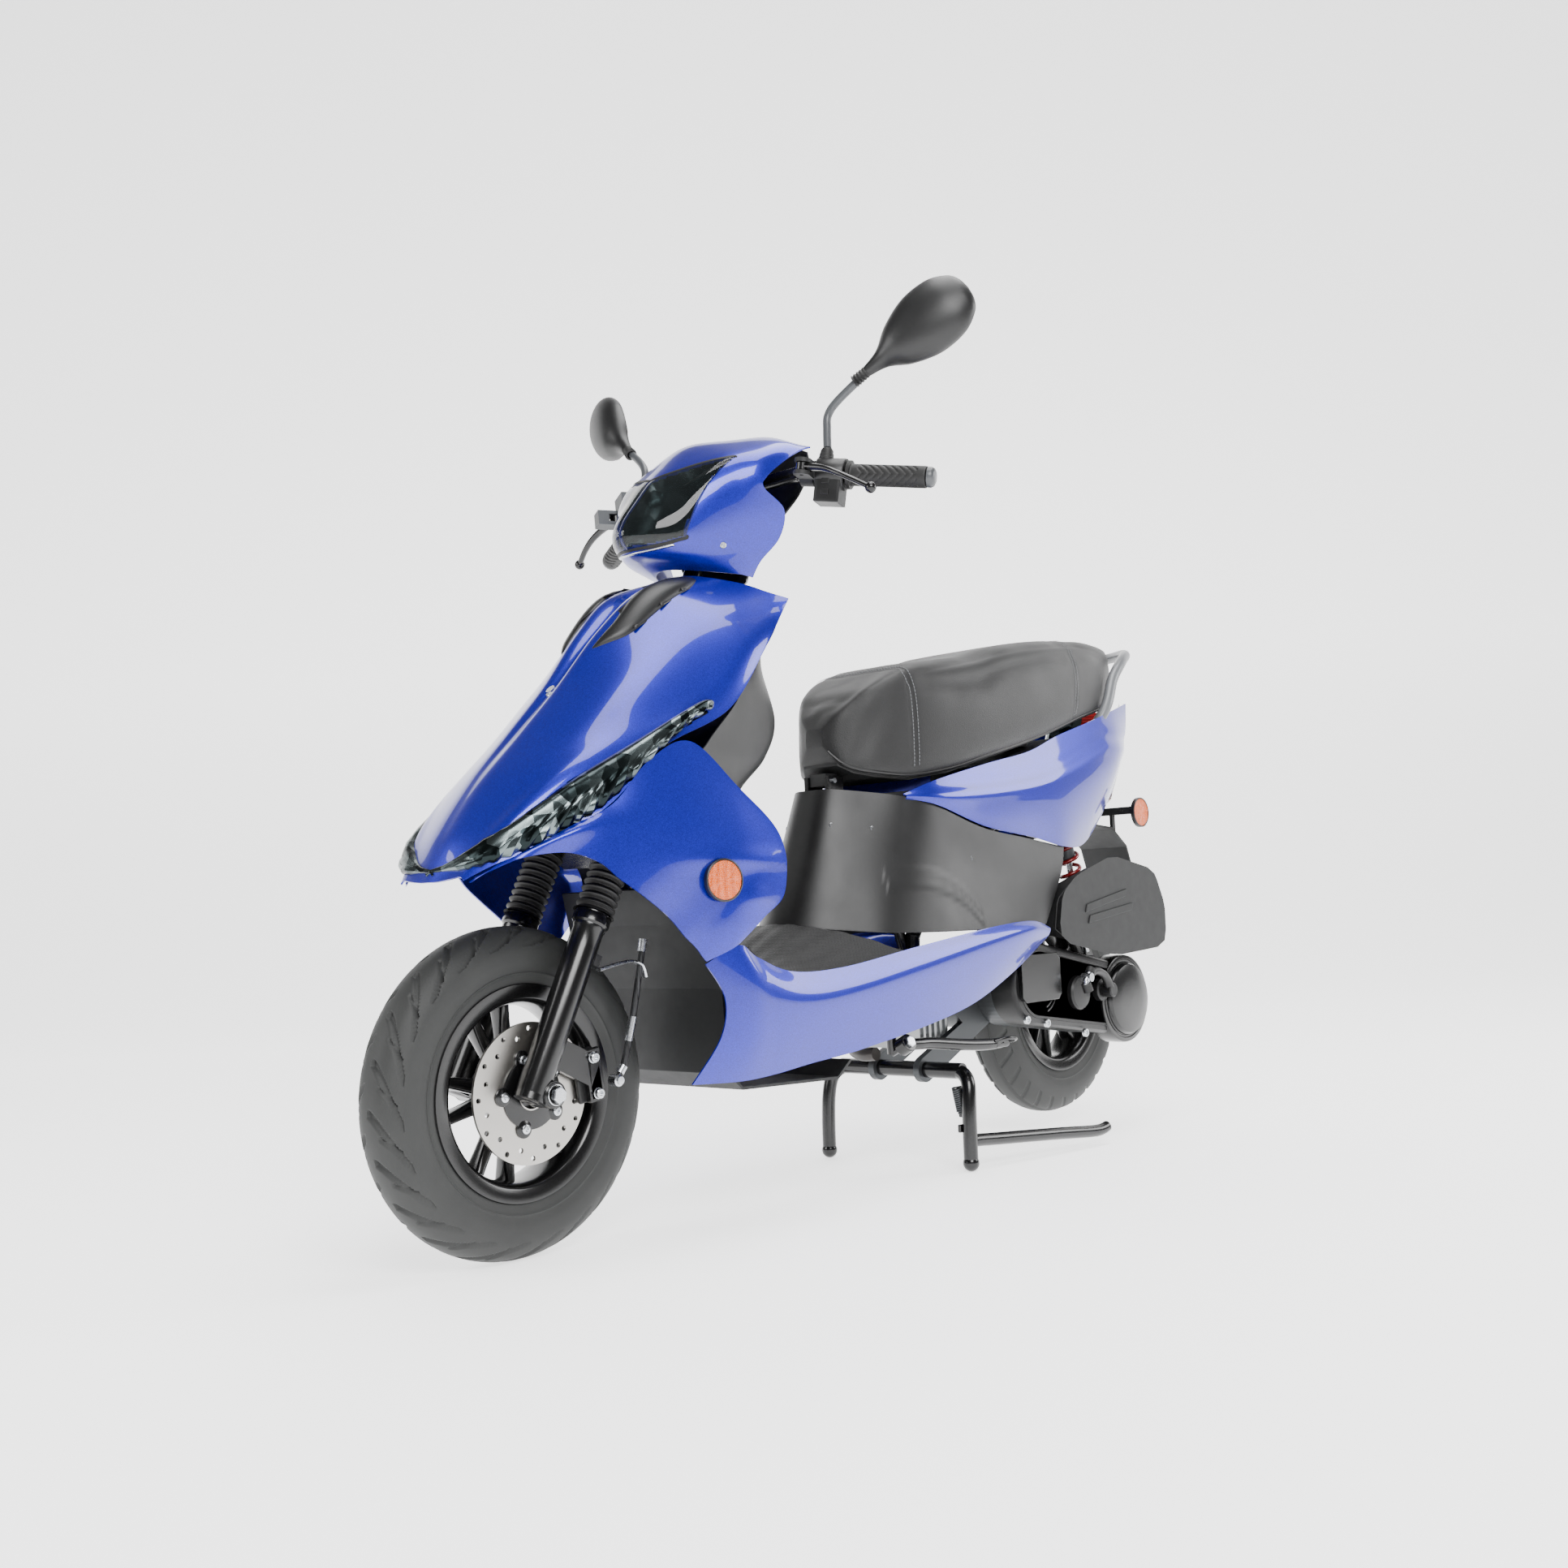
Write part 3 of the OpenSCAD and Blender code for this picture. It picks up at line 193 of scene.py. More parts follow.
def make(name, parts, material, body, replaces=(), wall=0.0, bevel=0.0, outward=False, crease=38):
    """Joins parts into one mesh and puts it on its body. wall thickens a skin inwards, bevel rounds its
    rims, and outward turns a closed shape's faces out."""
    parts = parts if isinstance(parts, list) else [parts]
    starts = np.cumsum([0] + [len(p) for p, _ in parts])
    points = np.concatenate([p for p, _ in parts])
    polys = [f + s for (_, faces), s in zip(parts, starts) for f in faces]
    sizes = np.concatenate([np.full(len(f), f.shape[1]) for f in polys])
    mesh = bpy.data.meshes.new(name)
    mesh.vertices.add(len(points))
    mesh.vertices.foreach_set("co", points.ravel())
    mesh.loops.add(int(sizes.sum()))
    mesh.loops.foreach_set("vertex_index", np.concatenate([f.ravel() for f in polys]))
    mesh.polygons.add(len(sizes))
    mesh.polygons.foreach_set("loop_start", np.cumsum(sizes) - sizes)
    mesh.update(calc_edges=True)
    mesh.validate()
    if outward:
        work = bmesh.new()
        work.from_mesh(mesh)
        bmesh.ops.remove_doubles(work, verts=work.verts, dist=1e-6)
        bmesh.ops.recalc_face_normals(work, faces=work.faces)
        work.to_mesh(mesh)
        work.free()
    mesh.polygons.foreach_set("use_smooth", np.ones(len(mesh.polygons), bool))
    mesh.set_sharp_from_angle(angle=math.radians(crease))
    mesh.materials.append(material)
    piece = bpy.data.objects.new(name, mesh)
    bpy.context.scene.collection.objects.link(piece)
    if wall:
        thick = piece.modifiers.new("wall", "SOLIDIFY")
        thick.thickness, thick.offset, thick.use_even_offset = wall, -1.0, False
    if bevel:
        soft = piece.modifiers.new("rim", "BEVEL")
        soft.width, soft.segments, soft.limit_method = bevel, 2, "ANGLE"
        soft.angle_limit, soft.harden_normals = math.radians(55), True
    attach(piece, body)
    if replaces:
        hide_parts(*([replaces] if isinstance(replaces, str) else replaces))
    return piece


def inside(points, outline):
    """True for each 2-D point inside the outline: an odd number of its edges lie to the point's right."""
    a, b = outline, np.roll(outline, -1, axis=0)
    x, y = points[..., None, 0], points[..., None, 1]
    crosses = (a[:, 1] > y) != (b[:, 1] > y)
    reach = a[:, 0] + (y - a[:, 1]) * (b[:, 0] - a[:, 0]) / np.where(b[:, 1] == a[:, 1], 1e-9,
                                                                     b[:, 1] - a[:, 1])
    return (crosses & (x < reach)).sum(-1) % 2 == 1


def middles(g, axes):
    """The middle of each quad of a grid, seen along one axis."""
    m = (g[:-1, :-1] + g[1:, :-1] + g[:-1, 1:] + g[1:, 1:]) / 4
    return m[..., axes]


def laid(points, g, along, lift=0.0):
    """Points slid along one axis onto a grid: each takes the nearest grid point's tangent plane, and then
    stands off by lift along its normal."""
    flat = [a for a in range(3) if a != along]
    base, n = g.reshape(-1, 3), normals(g).reshape(-1, 3)
    p = np.asarray(points, float)
    q = p.reshape(-1, 3).copy()
    near = np.concatenate([
        np.argmin(((c[:, None, flat] - base[None, :, flat]) ** 2).sum(-1), axis=1)
        for c in np.array_split(q, max(1, len(q) // 200))])
    b, m = base[near], n[near]
    gap = ((b - q)[:, flat] * m[:, flat]).sum(-1)
    slope = np.where(np.abs(m[:, along]) < 0.08, 0.08 * np.sign(m[:, along] + 1e-9), m[:, along])
    q[:, along] = b[:, along] + np.clip(gap / slope, -0.006, 0.006)
    stand = np.reshape(lift, (-1, 1)) if np.ndim(lift) else lift
    return (q + m * stand).reshape(p.shape)


def strip(path, g, along, width, lift):
    """A flat ribbon laid on a grid: its two edges run at half its width to either side of the path."""
    centre = laid(path, g, along, lift)
    ahead = np.gradient(centre, axis=0)
    n = normals(g).reshape(-1, 3)[np.argmin(((centre[:, None] - g.reshape(1, -1, 3)) ** 2).sum(-1), axis=1)]
    side = np.cross(ahead, n)
    side /= np.maximum(np.linalg.norm(side, axis=1, keepdims=True), 1e-9)
    edge = np.stack([centre - side * width / 2, centre + n * 0.0003, centre + side * width / 2], axis=1)
    return quads(edge)


PANEL_WALL = 0.0026
shield_rows = guides([
    [[812, 0, 489], [788, 0, 545], [735, 0, 615], [665, 0, 683], [600, 0, 745], [530, 0, 818], [455, 0, 882],
     [375, 0, 928]],
    [[811, 18, 489], [785, 24, 547], [730, 26, 618], [660, 26, 689], [595, 26, 756], [528, 32, 834],
     [458, 42, 894], [365, 48, 924]],
    [[810, 42, 491], [772, 64, 550], [708, 84, 617], [632, 96, 680], [560, 102, 745], [485, 104, 806],
     [405, 106, 862], [318, 92, 912]],
    [[808, 60, 493], [758, 94, 557], [685, 118, 615], [595, 136, 663], [525, 146, 700], [450, 152, 745],
     [375, 152, 812], [290, 125, 896]],
    [[808, 66, 489], [780, 88, 506], [740, 111, 524], [640, 147, 576], [548, 158, 655], [428, 165, 712],
     [345, 158, 800], [275, 150, 885]]])
shield = skin(mirrored(shield_rows), 14, 14)
lamp_low = guides([[812, 0, 498], [783, 0, 508], [738, 0, 525], [690, 0, 550], [642, 0, 578], [572, 0, 634],
                   [508, 0, 684], [448, 0, 716]])
lamp_high = guides([[812, 0, 499], [764, 0, 551], [689, 0, 606], [640, 0, 634], [600, 0, 655], [530, 0, 692],
                    [470, 0, 722], [449, 0, 724]])
vent_inner = guides([[556, 30, 0], [520, 36, 0], [480, 36, 0], [440, 40, 0], [400, 46, 0], [372, 54, 0]])
vent_outer = guides([[556, 31, 0], [520, 62, 0], [480, 72, 0], [440, 75, 0], [400, 73, 0], [372, 60, 0]])


def outline_of(low, high):
    """The closed outline of a long opening: along one edge and back along the other."""
    return np.concatenate([low, high[::-1]])


def shrunk(outline, share):
    """An outline drawn in towards its middle."""
    middle = outline.mean(axis=0)
    return middle + (outline - middle) * share


lamp_hole = shrunk(outline_of(lamp_low, lamp_high)[:, [0, 2]], 0.93)
vent_hole = shrunk(outline_of(vent_inner, vent_outer)[:, :2], 0.9)
side_view, top_view = middles(shield, [0, 2]), middles(shield, [0, 1])
wide = np.abs(middles(shield, [1, 1])[..., 0])
top_view = np.stack([top_view[..., 0], np.abs(top_view[..., 1])], axis=-1)
shield_stays = ~((inside(side_view, lamp_hole) & (wide > 0.055)) | inside(top_view, vent_hole))
make("front_shield_skin", quads(shield, keep=shield_stays), blue, "chassis",
     ["front_shield"], wall=PANEL_WALL, bevel=0.0012)

# The lower wings wrap round the fork behind the lamps and end in round cheeks by the floor.
# Each is its own moulding, clipped under the shield's edge.
wing_rows = guides([
    [[795, 74, 494], [742, 112, 523], [690, 136, 552], [632, 151, 581], [576, 161, 638], [510, 171, 664],
     [446, 192, 604], [380, 206, 536], [375, 206, 460], [415, 202, 425], [452, 192, 394]],
    [[797, 71, 491], [747, 111, 520], [688, 143, 545], [632, 158, 558], [580, 172, 566], [520, 188, 548],
     [463, 199, 518], [442, 202, 478], [448, 201, 440], [460, 196, 410], [470, 189, 384]],
    [[800, 67, 488], [754, 108, 513], [702, 133, 520], [662, 152, 506], [636, 161, 484], [603, 168, 461],
     [565, 172, 433], [540, 176, 406], [522, 178, 390], [512, 179, 378], [505, 179, 371]]])
wing = skin(wing_rows, 16, 9)


def dented(g, heart, reach, depth, axes=(0, 2)):
    """A grid pushed along its normals by depth * exp(-(distance / reach)^2) about a point."""
    away = ((g[..., axes] - np.asarray(heart)) / np.asarray(reach)) ** 2
    return g + normals(g) * depth * np.exp(-away.sum(-1))[..., None]


wing = dented(wing, guides([[455, 0, 505]])[0][[0, 2]], [0.075, 0.012], -0.0035)
wing = dented(wing, guides([[430, 0, 452]])[0][[0, 2]], [0.03, 0.016], -0.0025)
for tag, part in (("left", quads(wing)), ("right", other_side(quads(wing)))):
    make("shield_wing_" + tag, part, blue, "chassis", wall=PANEL_WALL, bevel=0.0012)

# ---------- Turn lamps and vents in the shield ----------
# Each turn lamp is a smoked acrylic lens, glued over a metallised bowl with a ribbed lower half.
# The vents are black ABS frames with two slanted blades, clipped in from behind.
def smoked_acrylic():
    """Clear PMMA tinted grey-green: smooth, so the bowl shows through a sharp gloss."""
    made, tree, core = finish("smoked_acrylic", "#323c3e", 0.0, 0.03, IOR=1.49, Transmission_Weight=0.85,
                              Alpha=0.72)
    return made


def metallised_bowl():
    """Vacuum-plated aluminium on pressed facets 22 mm wide, seen through the tint, so it is drawn grey; each
    facet takes its own darker or lighter grey, a painted reflection.
    """
    made, tree, core = finish("metallised_bowl", "#8f9a9a", 1.0, 0.24)
    place = add_node(tree, "TexCoord")
    facet = add_node(tree, "TexVoronoi", {"Scale": 1 / 0.022, "feature": "F1"},
                     {"Vector": place.outputs["Object"]})
    # Painted reflection: each facet gets its own dark or light grey.
    shade = add_node(tree, "ValToRGB", {}, {"Fac": facet.outputs["Color"]})
    shade.color_ramp.elements[0].position, shade.color_ramp.elements[1].position = 0.35, 0.8
    shade.color_ramp.elements[0].color = linear("#22292a")
    shade.color_ramp.elements[1].color = linear("#6f7a7b")
    tree.links.new(shade.outputs["Color"], core.inputs["Base Color"])
    relief(tree, core, facet.outputs["Distance"], 0.003, 0.3)
    return made


def moulded_black():
    """Black ABS from a spark-eroded tool: a fine grain 0.7 mm wide breaks up a dull shine."""
    made, tree, core = finish("grained_abs", "#0d0d0e", 0.0, 0.42, IOR=1.53)
    place = add_node(tree, "TexCoord")
    grain = add_node(tree, "TexNoise", {"Scale": 1 / 0.0007, "Detail": 3.0},
                     {"Vector": place.outputs["Object"]})
    cloud = add_node(tree, "TexNoise", {"Scale": 1 / 0.06, "Detail": 3.0},
                     {"Vector": place.outputs["Object"]})
    dull = add_node(tree, "MapRange", {"To Min": 0.34, "To Max": 0.5}, {"Value": cloud.outputs["Fac"]})
    tree.links.new(dull.outputs["Result"], core.inputs["Roughness"])
    relief(tree, core, grain.outputs["Fac"], 0.0002, 0.35)
    return made


def seal_and_gap_shade_black():
    """The painted shadow in gaps and openings between mouldings, and the black seal round a lens."""
    return finish("seal_rubber_and_gap_shade", "#050505", 0.0, 0.6)[0]


smoked, bowl, black, seal_and_gap_shade = smoked_acrylic(), metallised_bowl(), moulded_black(), seal_and_gap_shade_black()


def across_opening(low, high, steps_along, steps_across):
    """A grid between an opening's two edges: straight lines from low to high, at even shares."""
    low, high = smooth(low, steps_along), smooth(high, steps_along)
    share = np.linspace(0, 1, steps_across)[:, None, None]
    return low * (1 - share) + high * share


def pillow(rows, cols, height, edge):
    """Heights over a grid: 0 at its rims, rising to height as 1 - |2s - 1|^edge both ways."""
    s = 1 - np.abs(np.linspace(-1, 1, rows)) ** edge
    t = 1 - np.abs(np.linspace(-1, 1, cols)) ** edge
    return height * s[:, None] * t


left_half = shield[len(shield) // 2:]
lamp = across_opening(lamp_low, lamp_high, 10, 17)
lens_face = laid(lamp, left_half, 1, (0.0004 + pillow(*lamp.shape[:2], 0.0022, 8)).ravel())
well = laid(lamp, left_half, 1, (0.0002 - pillow(*lamp.shape[:2], 0.016, 6)).ravel())
ribs = 0.0016 * np.sin(np.linspace(0, 40 * math.pi, lamp.shape[1])) * (np.arange(17)[:, None] < 8)
bowl_face = well + normals(well) * ribs[..., None]
for side, turned_over in (("left", lambda p: p), ("right", other_side)):
    make("turn_lamp_bowl_" + side, turned_over(quads(bowl_face)), bowl, "chassis")
    make("turn_lamp_lens_" + side, turned_over(quads(lens_face)), smoked, "chassis",
         ["turn_lamps"] if side == "left" else (), wall=0.0018)
    rim = np.concatenate([smooth(lamp_low, 12), smooth(lamp_high, 12)[::-1], smooth(lamp_low, 12)[:1]])
    make("turn_lamp_seal_" + side, turned_over(strip(rim, left_half, 1, 0.0045, 0.0009)), seal_and_gap_shade, "chassis")
    heart = laid(guides([[662, 0, 592]]), left_half, 1, -0.006)[0]
    bulb_rows = [0.013 * math.sin(a) for a in np.linspace(0.02, 2.2, 9)]
    ring = np.linspace(0, 2 * math.pi, 24, endpoint=False)
    bulb = np.stack([np.stack([heart[0] + r * np.cos(ring), np.full(24, heart[1]) + 0.004 - 0.004 * k / 9,
                               heart[2] + r * np.sin(ring)], axis=-1) for k, r in enumerate(bulb_rows)])
    make("turn_lamp_cup_" + side, turned_over(quads(bulb, ring=True)), bowl, "chassis")

# Two blades and a rim to each vent.
vent = across_opening(vent_inner, vent_outer, 8, 9)
vent_floor = laid(vent, left_half, 2, (0.0002 - pillow(*vent.shape[:2], 0.012, 3)).ravel())
blade_from = [0.28, 0.5, 0.72]
vent_parts = [quads(vent_floor)]
for start in blade_from:
    k = int(start * (vent.shape[1] - 1))
    span = vent[:, k:k + 7]
    raised = laid(span, left_half, 2, np.tile(np.linspace(-0.007, 0.0012, span.shape[1]), len(span)))
    vent_parts.append(quads(raised))
    vent_parts.append(quads(np.stack([raised[:, -1], raised[:, -1] - [0, 0, 0.006]], axis=1)))
vent_rim = np.concatenate([smooth(vent_inner, 10), smooth(vent_outer, 10)[::-1], smooth(vent_inner, 10)[:1]])
vent_parts.append(strip(vent_rim, left_half, 2, 0.005, 0.0009))
for side, turned_over in (("left", lambda p: p), ("right", other_side)):
    make("shield_vent_" + side, [turned_over(p) for p in vent_parts], black, "chassis",
         ["shield_vents"] if side == "left" else (), wall=0.001)

# ---------- Shield's centre panel, screw and round reflectors ----------
# A raised panel lies between two seams that run down from the neck to one zinc-plated screw.
# The seams are thin dark strips of the gap material: painted shade in the seam gaps.
seam_path = guides([[455, 70, 0], [500, 58, 0], [540, 40, 0], [575, 20, 0], [597, 6, 0]])
seam_shade_strips = [strip(smooth(seam_path, 12), left_half, 2, 0.0022, 0.0003)]
make("shield_seam_shade", seam_shade_strips + [other_side(s) for s in seam_shade_strips], seal_and_gap_shade, "chassis")


def zinc_plated():
    """Bright zinc on pressed steel: a bluish silver with a soft brushed shine."""
    made, tree, core = finish("zinc_plate", "#c9ccd0", 1.0, 0.26)
    place = add_node(tree, "TexCoord")
    wear = add_node(tree, "TexNoise", {"Scale": 1 / 0.004, "Detail": 4.0},
                    {"Vector": place.outputs["Object"]})
    dull = add_node(tree, "MapRange", {"To Min": 0.18, "To Max": 0.38}, {"Value": wear.outputs["Fac"]})
    tree.links.new(dull.outputs["Result"], core.inputs["Roughness"])
    return made


zinc = zinc_plated()


def turned(profile, centre, axis, steps=32, start=0.0, sweep=2 * math.pi):
    """A profile of (radius, height) pairs turned round an axis through a centre."""
    profile = np.asarray(profile, float)
    axis = np.asarray(axis, float) / np.linalg.norm(axis)
    u = np.cross(axis, [0.31, 0.17, 0.93])
    u /= np.linalg.norm(u)
    v = np.cross(axis, u)
    whole = sweep >= 2 * math.pi - 1e-6
    a = start + np.linspace(0, sweep, steps, endpoint=not whole)
    spoke = np.cos(a)[None, :, None] * u + np.sin(a)[None, :, None] * v
    g = np.asarray(centre) + profile[:, 0, None, None] * spoke + profile[:, 1, None, None] * axis
    return quads(g, ring=whole)


def bolt(centre, axis, across, height, socket=True):
    """A hexagon or button head: a chamfered disc with a recess in its top."""
    r = across / 2
    rows = [(r * 0.98, 0), (r, height * 0.2), (r, height * 0.7), (r * 0.86, height)]
    rows += [(r * 0.5, height), (r * 0.42, height * 0.4),
             (1e-5, height * 0.4)] if socket else [(1e-5, height)]
    return turned(rows, centre, axis, 6 if not socket else 20)


screw_at = laid(guides([[602, 0, 700]]), shield, 2, 0.0)[0]
make("shield_screw", bolt(screw_at, [0.7, 0, 0.72], 0.017, 0.0045), zinc, "chassis",
     outward=True)


def amber_acrylic():
    """Prismatic amber PMMA with rows of cube corners 2.4 mm wide: each prism runs from bright orange in its
    middle to dark at its edges, a painted glow and painted shade of the light they throw back.
    """
    made, tree, core = finish("amber_acrylic", "#e06a00", 0.0, 0.12, IOR=1.49, Coat_Weight=0.6)
    place = add_node(tree, "TexCoord")
    prism = add_node(tree, "TexVoronoi", {"Scale": 1 / 0.0024, "Randomness": 0.0},
                     {"Vector": place.outputs["Object"]})
    # Painted glow and shade: bright orange at each prism's middle, dark brown at its edges.
    shade = add_node(tree, "ValToRGB", {}, {"Fac": prism.outputs["Distance"]})
    shade.color_ramp.elements[0].color = linear("#ff7000")
    shade.color_ramp.elements[1].color = linear("#8a2c00")
    tree.links.new(shade.outputs["Color"], core.inputs["Base Color"])
    relief(tree, core, prism.outputs["Distance"], 0.0012, 0.8)
    return made


amber = amber_acrylic()


def round_reflector(name, centre, axis, r):
    """A black cup with an amber lens in eight pressed sectors."""
    cup = [(r * 0.9, 0.0), (r, 0.001), (r, 0.0075), (r * 0.93, 0.0085), (r * 0.9, 0.0068)]
    make(name + "_cup", turned(cup, centre, axis, 64), black, "chassis")
    lens_rows = [(r * 0.915, 0.006), (r * 0.9, 0.0072), (r * 0.6, 0.0078), (r * 0.3, 0.0081), (1e-5, 0.0082)]
    points, faces = turned(lens_rows, centre, axis, 64)
    sector = np.tile(np.abs(((np.arange(64) / 8) % 1) - 0.5), len(lens_rows))
    share = np.repeat([0, 1, 1, 0.8, 0], 64)
    points = points + np.asarray(axis) / np.linalg.norm(axis) * (0.0012 * sector * share)[:, None]
    make(name + "_lens", (points, faces), amber, "chassis")


REFLECTOR_R = 0.029
lean = math.radians(-12)
for side, sign in (("left", 1), ("right", -1)):
    front = guides([[486, 197.2 * sign, 477]])[0]
    round_reflector("front_reflector_" + side, front, [-math.sin(lean) * 1, sign * math.cos(lean), 0],
                    REFLECTOR_R)
    rear = guides([[-786, 90.3 * sign, 584]])[0]
    round_reflector("rear_reflector_" + side, rear, [0, sign, 0], REFLECTOR_R)
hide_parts("reflectors")

# ---------- Side skirts and floor ----------------------
# The skirts run from the cheeks to the swing arm in the same lacquered ABS, black at their upper tail.
# The floor is a ribbed rubber mat.
skirt_rows = guides([
    [[505, 177, 367], [452, 187, 389], [415, 184, 371], [340, 180, 346], [225, 178, 345], [45, 176, 365],
     [-155, 172, 385], [-280, 168, 390], [-345, 160, 376]],
    [[476, 182, 320], [430, 193, 330], [385, 193, 315], [310, 191, 306], [205, 189, 312], [35, 187, 336],
     [-150, 181, 363], [-270, 175, 377], [-341, 162, 372]],
    [[483, 178, 268], [430, 187, 266], [380, 186, 262], [305, 184, 264], [200, 182, 274], [30, 180, 297],
     [-145, 175, 328], [-260, 170, 354], [-336, 160, 364]],
    [[528, 166, 211], [440, 169, 206], [370, 168, 208], [290, 167, 215], [190, 166, 222], [20, 164, 243],
     [-115, 160, 268], [-240, 155, 312], [-326, 152, 352]]])
skirt = skin(skirt_rows, 14, 16)
for tag, part in (("left", quads(skirt)), ("right", other_side(quads(skirt)))):
    make("side_skirt_" + tag, part, blue, "chassis", ["side_skirts"] if tag == "left" else (),
         wall=PANEL_WALL, bevel=0.0012)
skirt_top = guides([[452, 0, 390], [415, 0, 370], [340, 0, 345], [225, 0, 344], [45, 0, 364], [-155, 0, 384],
                    [-280, 0, 389], [-343, 0, 376]])
trim = strip(smooth(skirt_top, 12) - [0, 0, 0.004], skirt, 1, 0.011, 0.0012)
make("skirt_trims", [trim, other_side(trim)], black, "chassis", wall=0.001)


def ribbed_mat():
    """Moulded rubber with a lozenge grip 5 mm across."""
    made, tree, core = finish("ribbed_rubber", "#111112", 0.0, 0.62)
    place = add_node(tree, "TexCoord")
    turned_pattern = add_node(tree, "Mapping", {"Rotation": (0, 0, math.radians(45))},
                              {"Vector": place.outputs["Object"]})
    lozenge = add_node(tree, "TexVoronoi", {"Scale": 1 / 0.005, "Randomness": 0.0, "distance": "CHEBYCHEV"},
                       {"Vector": turned_pattern.outputs["Vector"]})
    relief(tree, core, lozenge.outputs["Distance"], 0.0012, 0.9)
    return made


mat = ribbed_mat()
floor_rows = guides([
    [[397.2, 0, 384], [366, 0, 357], [320, 0, 352], [260, 0, 372], [205, 0, 398], [172, 0, 410]],
    [[396, 60, 384], [366, 60, 357], [320, 60, 351], [260, 60, 368], [200, 60, 394], [165, 60, 405]],
    [[402, 120, 384], [370, 120, 355], [320, 120, 349], [260, 120, 354], [180, 120, 372], [120, 118, 388]],
    [[416, 174, 386], [372, 174, 350], [320, 174, 344], [250, 174, 342], [150, 172, 348], [60, 171, 358]]])
floor_pan = skin(mirrored(floor_rows), 10, 6)[::-1]
ridge = np.arange(floor_pan.shape[0]) % 6
floor_pan = floor_pan + normals(floor_pan) * np.where(ridge < 3, 0.0, -0.0012)[:, None, None]
make("floor_mat", quads(floor_pan), mat, "chassis", ["floorboard"], wall=0.004, bevel=0.0008)

# ---------- Leg shield, under-seat cover and their fittings ----------
# Grained black ABS: the leg shield with its knee bulges, and the cover that closes the front of the
# luggage box, with a tall slot on its left, slanted steps on its sides and recessed ribs low down.
leg_rows = guides([
    [[298, 0, 903], [268, 0, 850], [250, 0, 790], [232, 0, 720], [262, 0, 660], [320, 0, 600], [365, 0, 500],
     [395, 0, 425], [403, 0, 398]],
    [[290, 60, 897], [270, 60, 850], [254, 60, 790], [236, 60, 720], [270, 62, 658], [328, 64, 600],
     [370, 66, 500], [397, 66, 425], [405, 66, 398]],
    [[281, 112, 880], [288, 108, 845], [292, 105, 790], [272, 105, 712], [307, 112, 655], [376, 118, 595],
     [388, 125, 500], [404, 126, 425], [421, 126, 398]],
    [[282, 141, 872], [308, 148, 833], [352, 148, 780], [402, 154, 722], [464, 159, 665], [513, 168, 606],
     [400, 192, 500], [416, 186, 425], [428, 170, 398]]])
leg = skin(mirrored(leg_rows), 10, 12)[::-1]
lock_hole = np.hypot(middles(leg, [1, 2])[..., 0] + 0.062, middles(leg, [1, 2])[..., 1] - 0.8) < 0.014
make("leg_shield_skin", quads(leg, keep=~lock_hole), black, "chassis", ["leg_shield"],
     wall=PANEL_WALL, bevel=0.0012)
cover_rows = guides([
    [[78, 0, 618], [116, 0, 520], [168, 0, 405]],
    [[70, 35, 618], [108, 38, 520], [158, 43, 402]],
    [[28, 72, 612], [68, 78, 515], [122, 86, 396]],
    [[-20, 108, 603], [10, 116, 507], [60, 136, 388]],
    [[-75, 130, 588], [-62, 138, 498], [-42, 160, 384]],
    [[-195, 137, 551], [-195, 145, 480], [-190, 164, 382]],
    [[-330, 133, 533], [-325, 146, 465], [-300, 157, 380]],
    [[-455, 126, 517], [-420, 139, 468], [-350, 149, 384]]])
cover = skin(mirrored(cover_rows), 36, 16)[::-1]
swept = guides([[-150, 0, 410], [-105, 0, 452], [-40, 0, 478], [40, 0, 480]])
for inset, drop in ((0.0, 0.0), (0.018, -0.002)):
    arch = smooth(swept, 20) - [0, 0, inset]
    reach = np.abs(cover[..., 2] - np.interp(cover[..., 0], arch[:, 0], arch[:, 2]))
    near = np.exp(-(reach / 0.0045) ** 2) * (cover[..., 0] > arch[0, 0]) * (cover[..., 0] < arch[-1, 0])
    cover = cover + normals(cover) * (-0.0022 * near)[..., None]
make("underseat_cover_skin", quads(cover), black, "chassis", ["underseat_cover"],
     wall=PANEL_WALL, bevel=0.0014)

# The cover's fittings: a tall slot, three slanted louvres, and two screws on its left cheek.
cover_cheek = cover[:len(cover) // 2 + 1] if cover[0, 0, 1] > 0 else cover[len(cover) // 2:]


def opening_shade_patch(low, high, g, along, lift, steps=10, cols=5):
    """A patch laid on a grid between two edges of a narrow opening, in the gap material: painted shade inside
    the opening.
    """
    return quads(laid(across_opening(low, high, steps, cols), g, along, lift))


# The slot is a dark patch on the cover: painted shade inside it. The louvre gaps below get painted shadows in
# the same way.
slot_shade_patch = opening_shade_patch(guides([[104, 40, 462], [99, 40, 500], [88, 40, 545]]),
                           guides([[92, 50, 462], [90, 50, 500], [84, 46, 545]]), cover_cheek, 1, 0.0008)
make("cover_slot_shade", slot_shade_patch, seal_and_gap_shade, "chassis")
louvres, shadows = [], []
for k in range(4):
    drop = 17 * k
    lower = guides([[56 - 9 * k, 84, 448 + drop], [28 - 8 * k, 96, 462 + drop]])
    upper = guides([[48 - 9 * k, 84, 463 + drop], [25 - 8 * k, 96, 473 + drop]])
    shadows.append(opening_shade_patch(lower, upper, cover_cheek, 1, 0.0008))
    edge = smooth(upper, 8)
    louvres.append(strip(edge, cover_cheek, 1, 0.005, 0.0016))
make("cover_louvre_shadows", shadows, seal_and_gap_shade, "chassis")
make("cover_louvres", louvres, black, "chassis", wall=0.001)
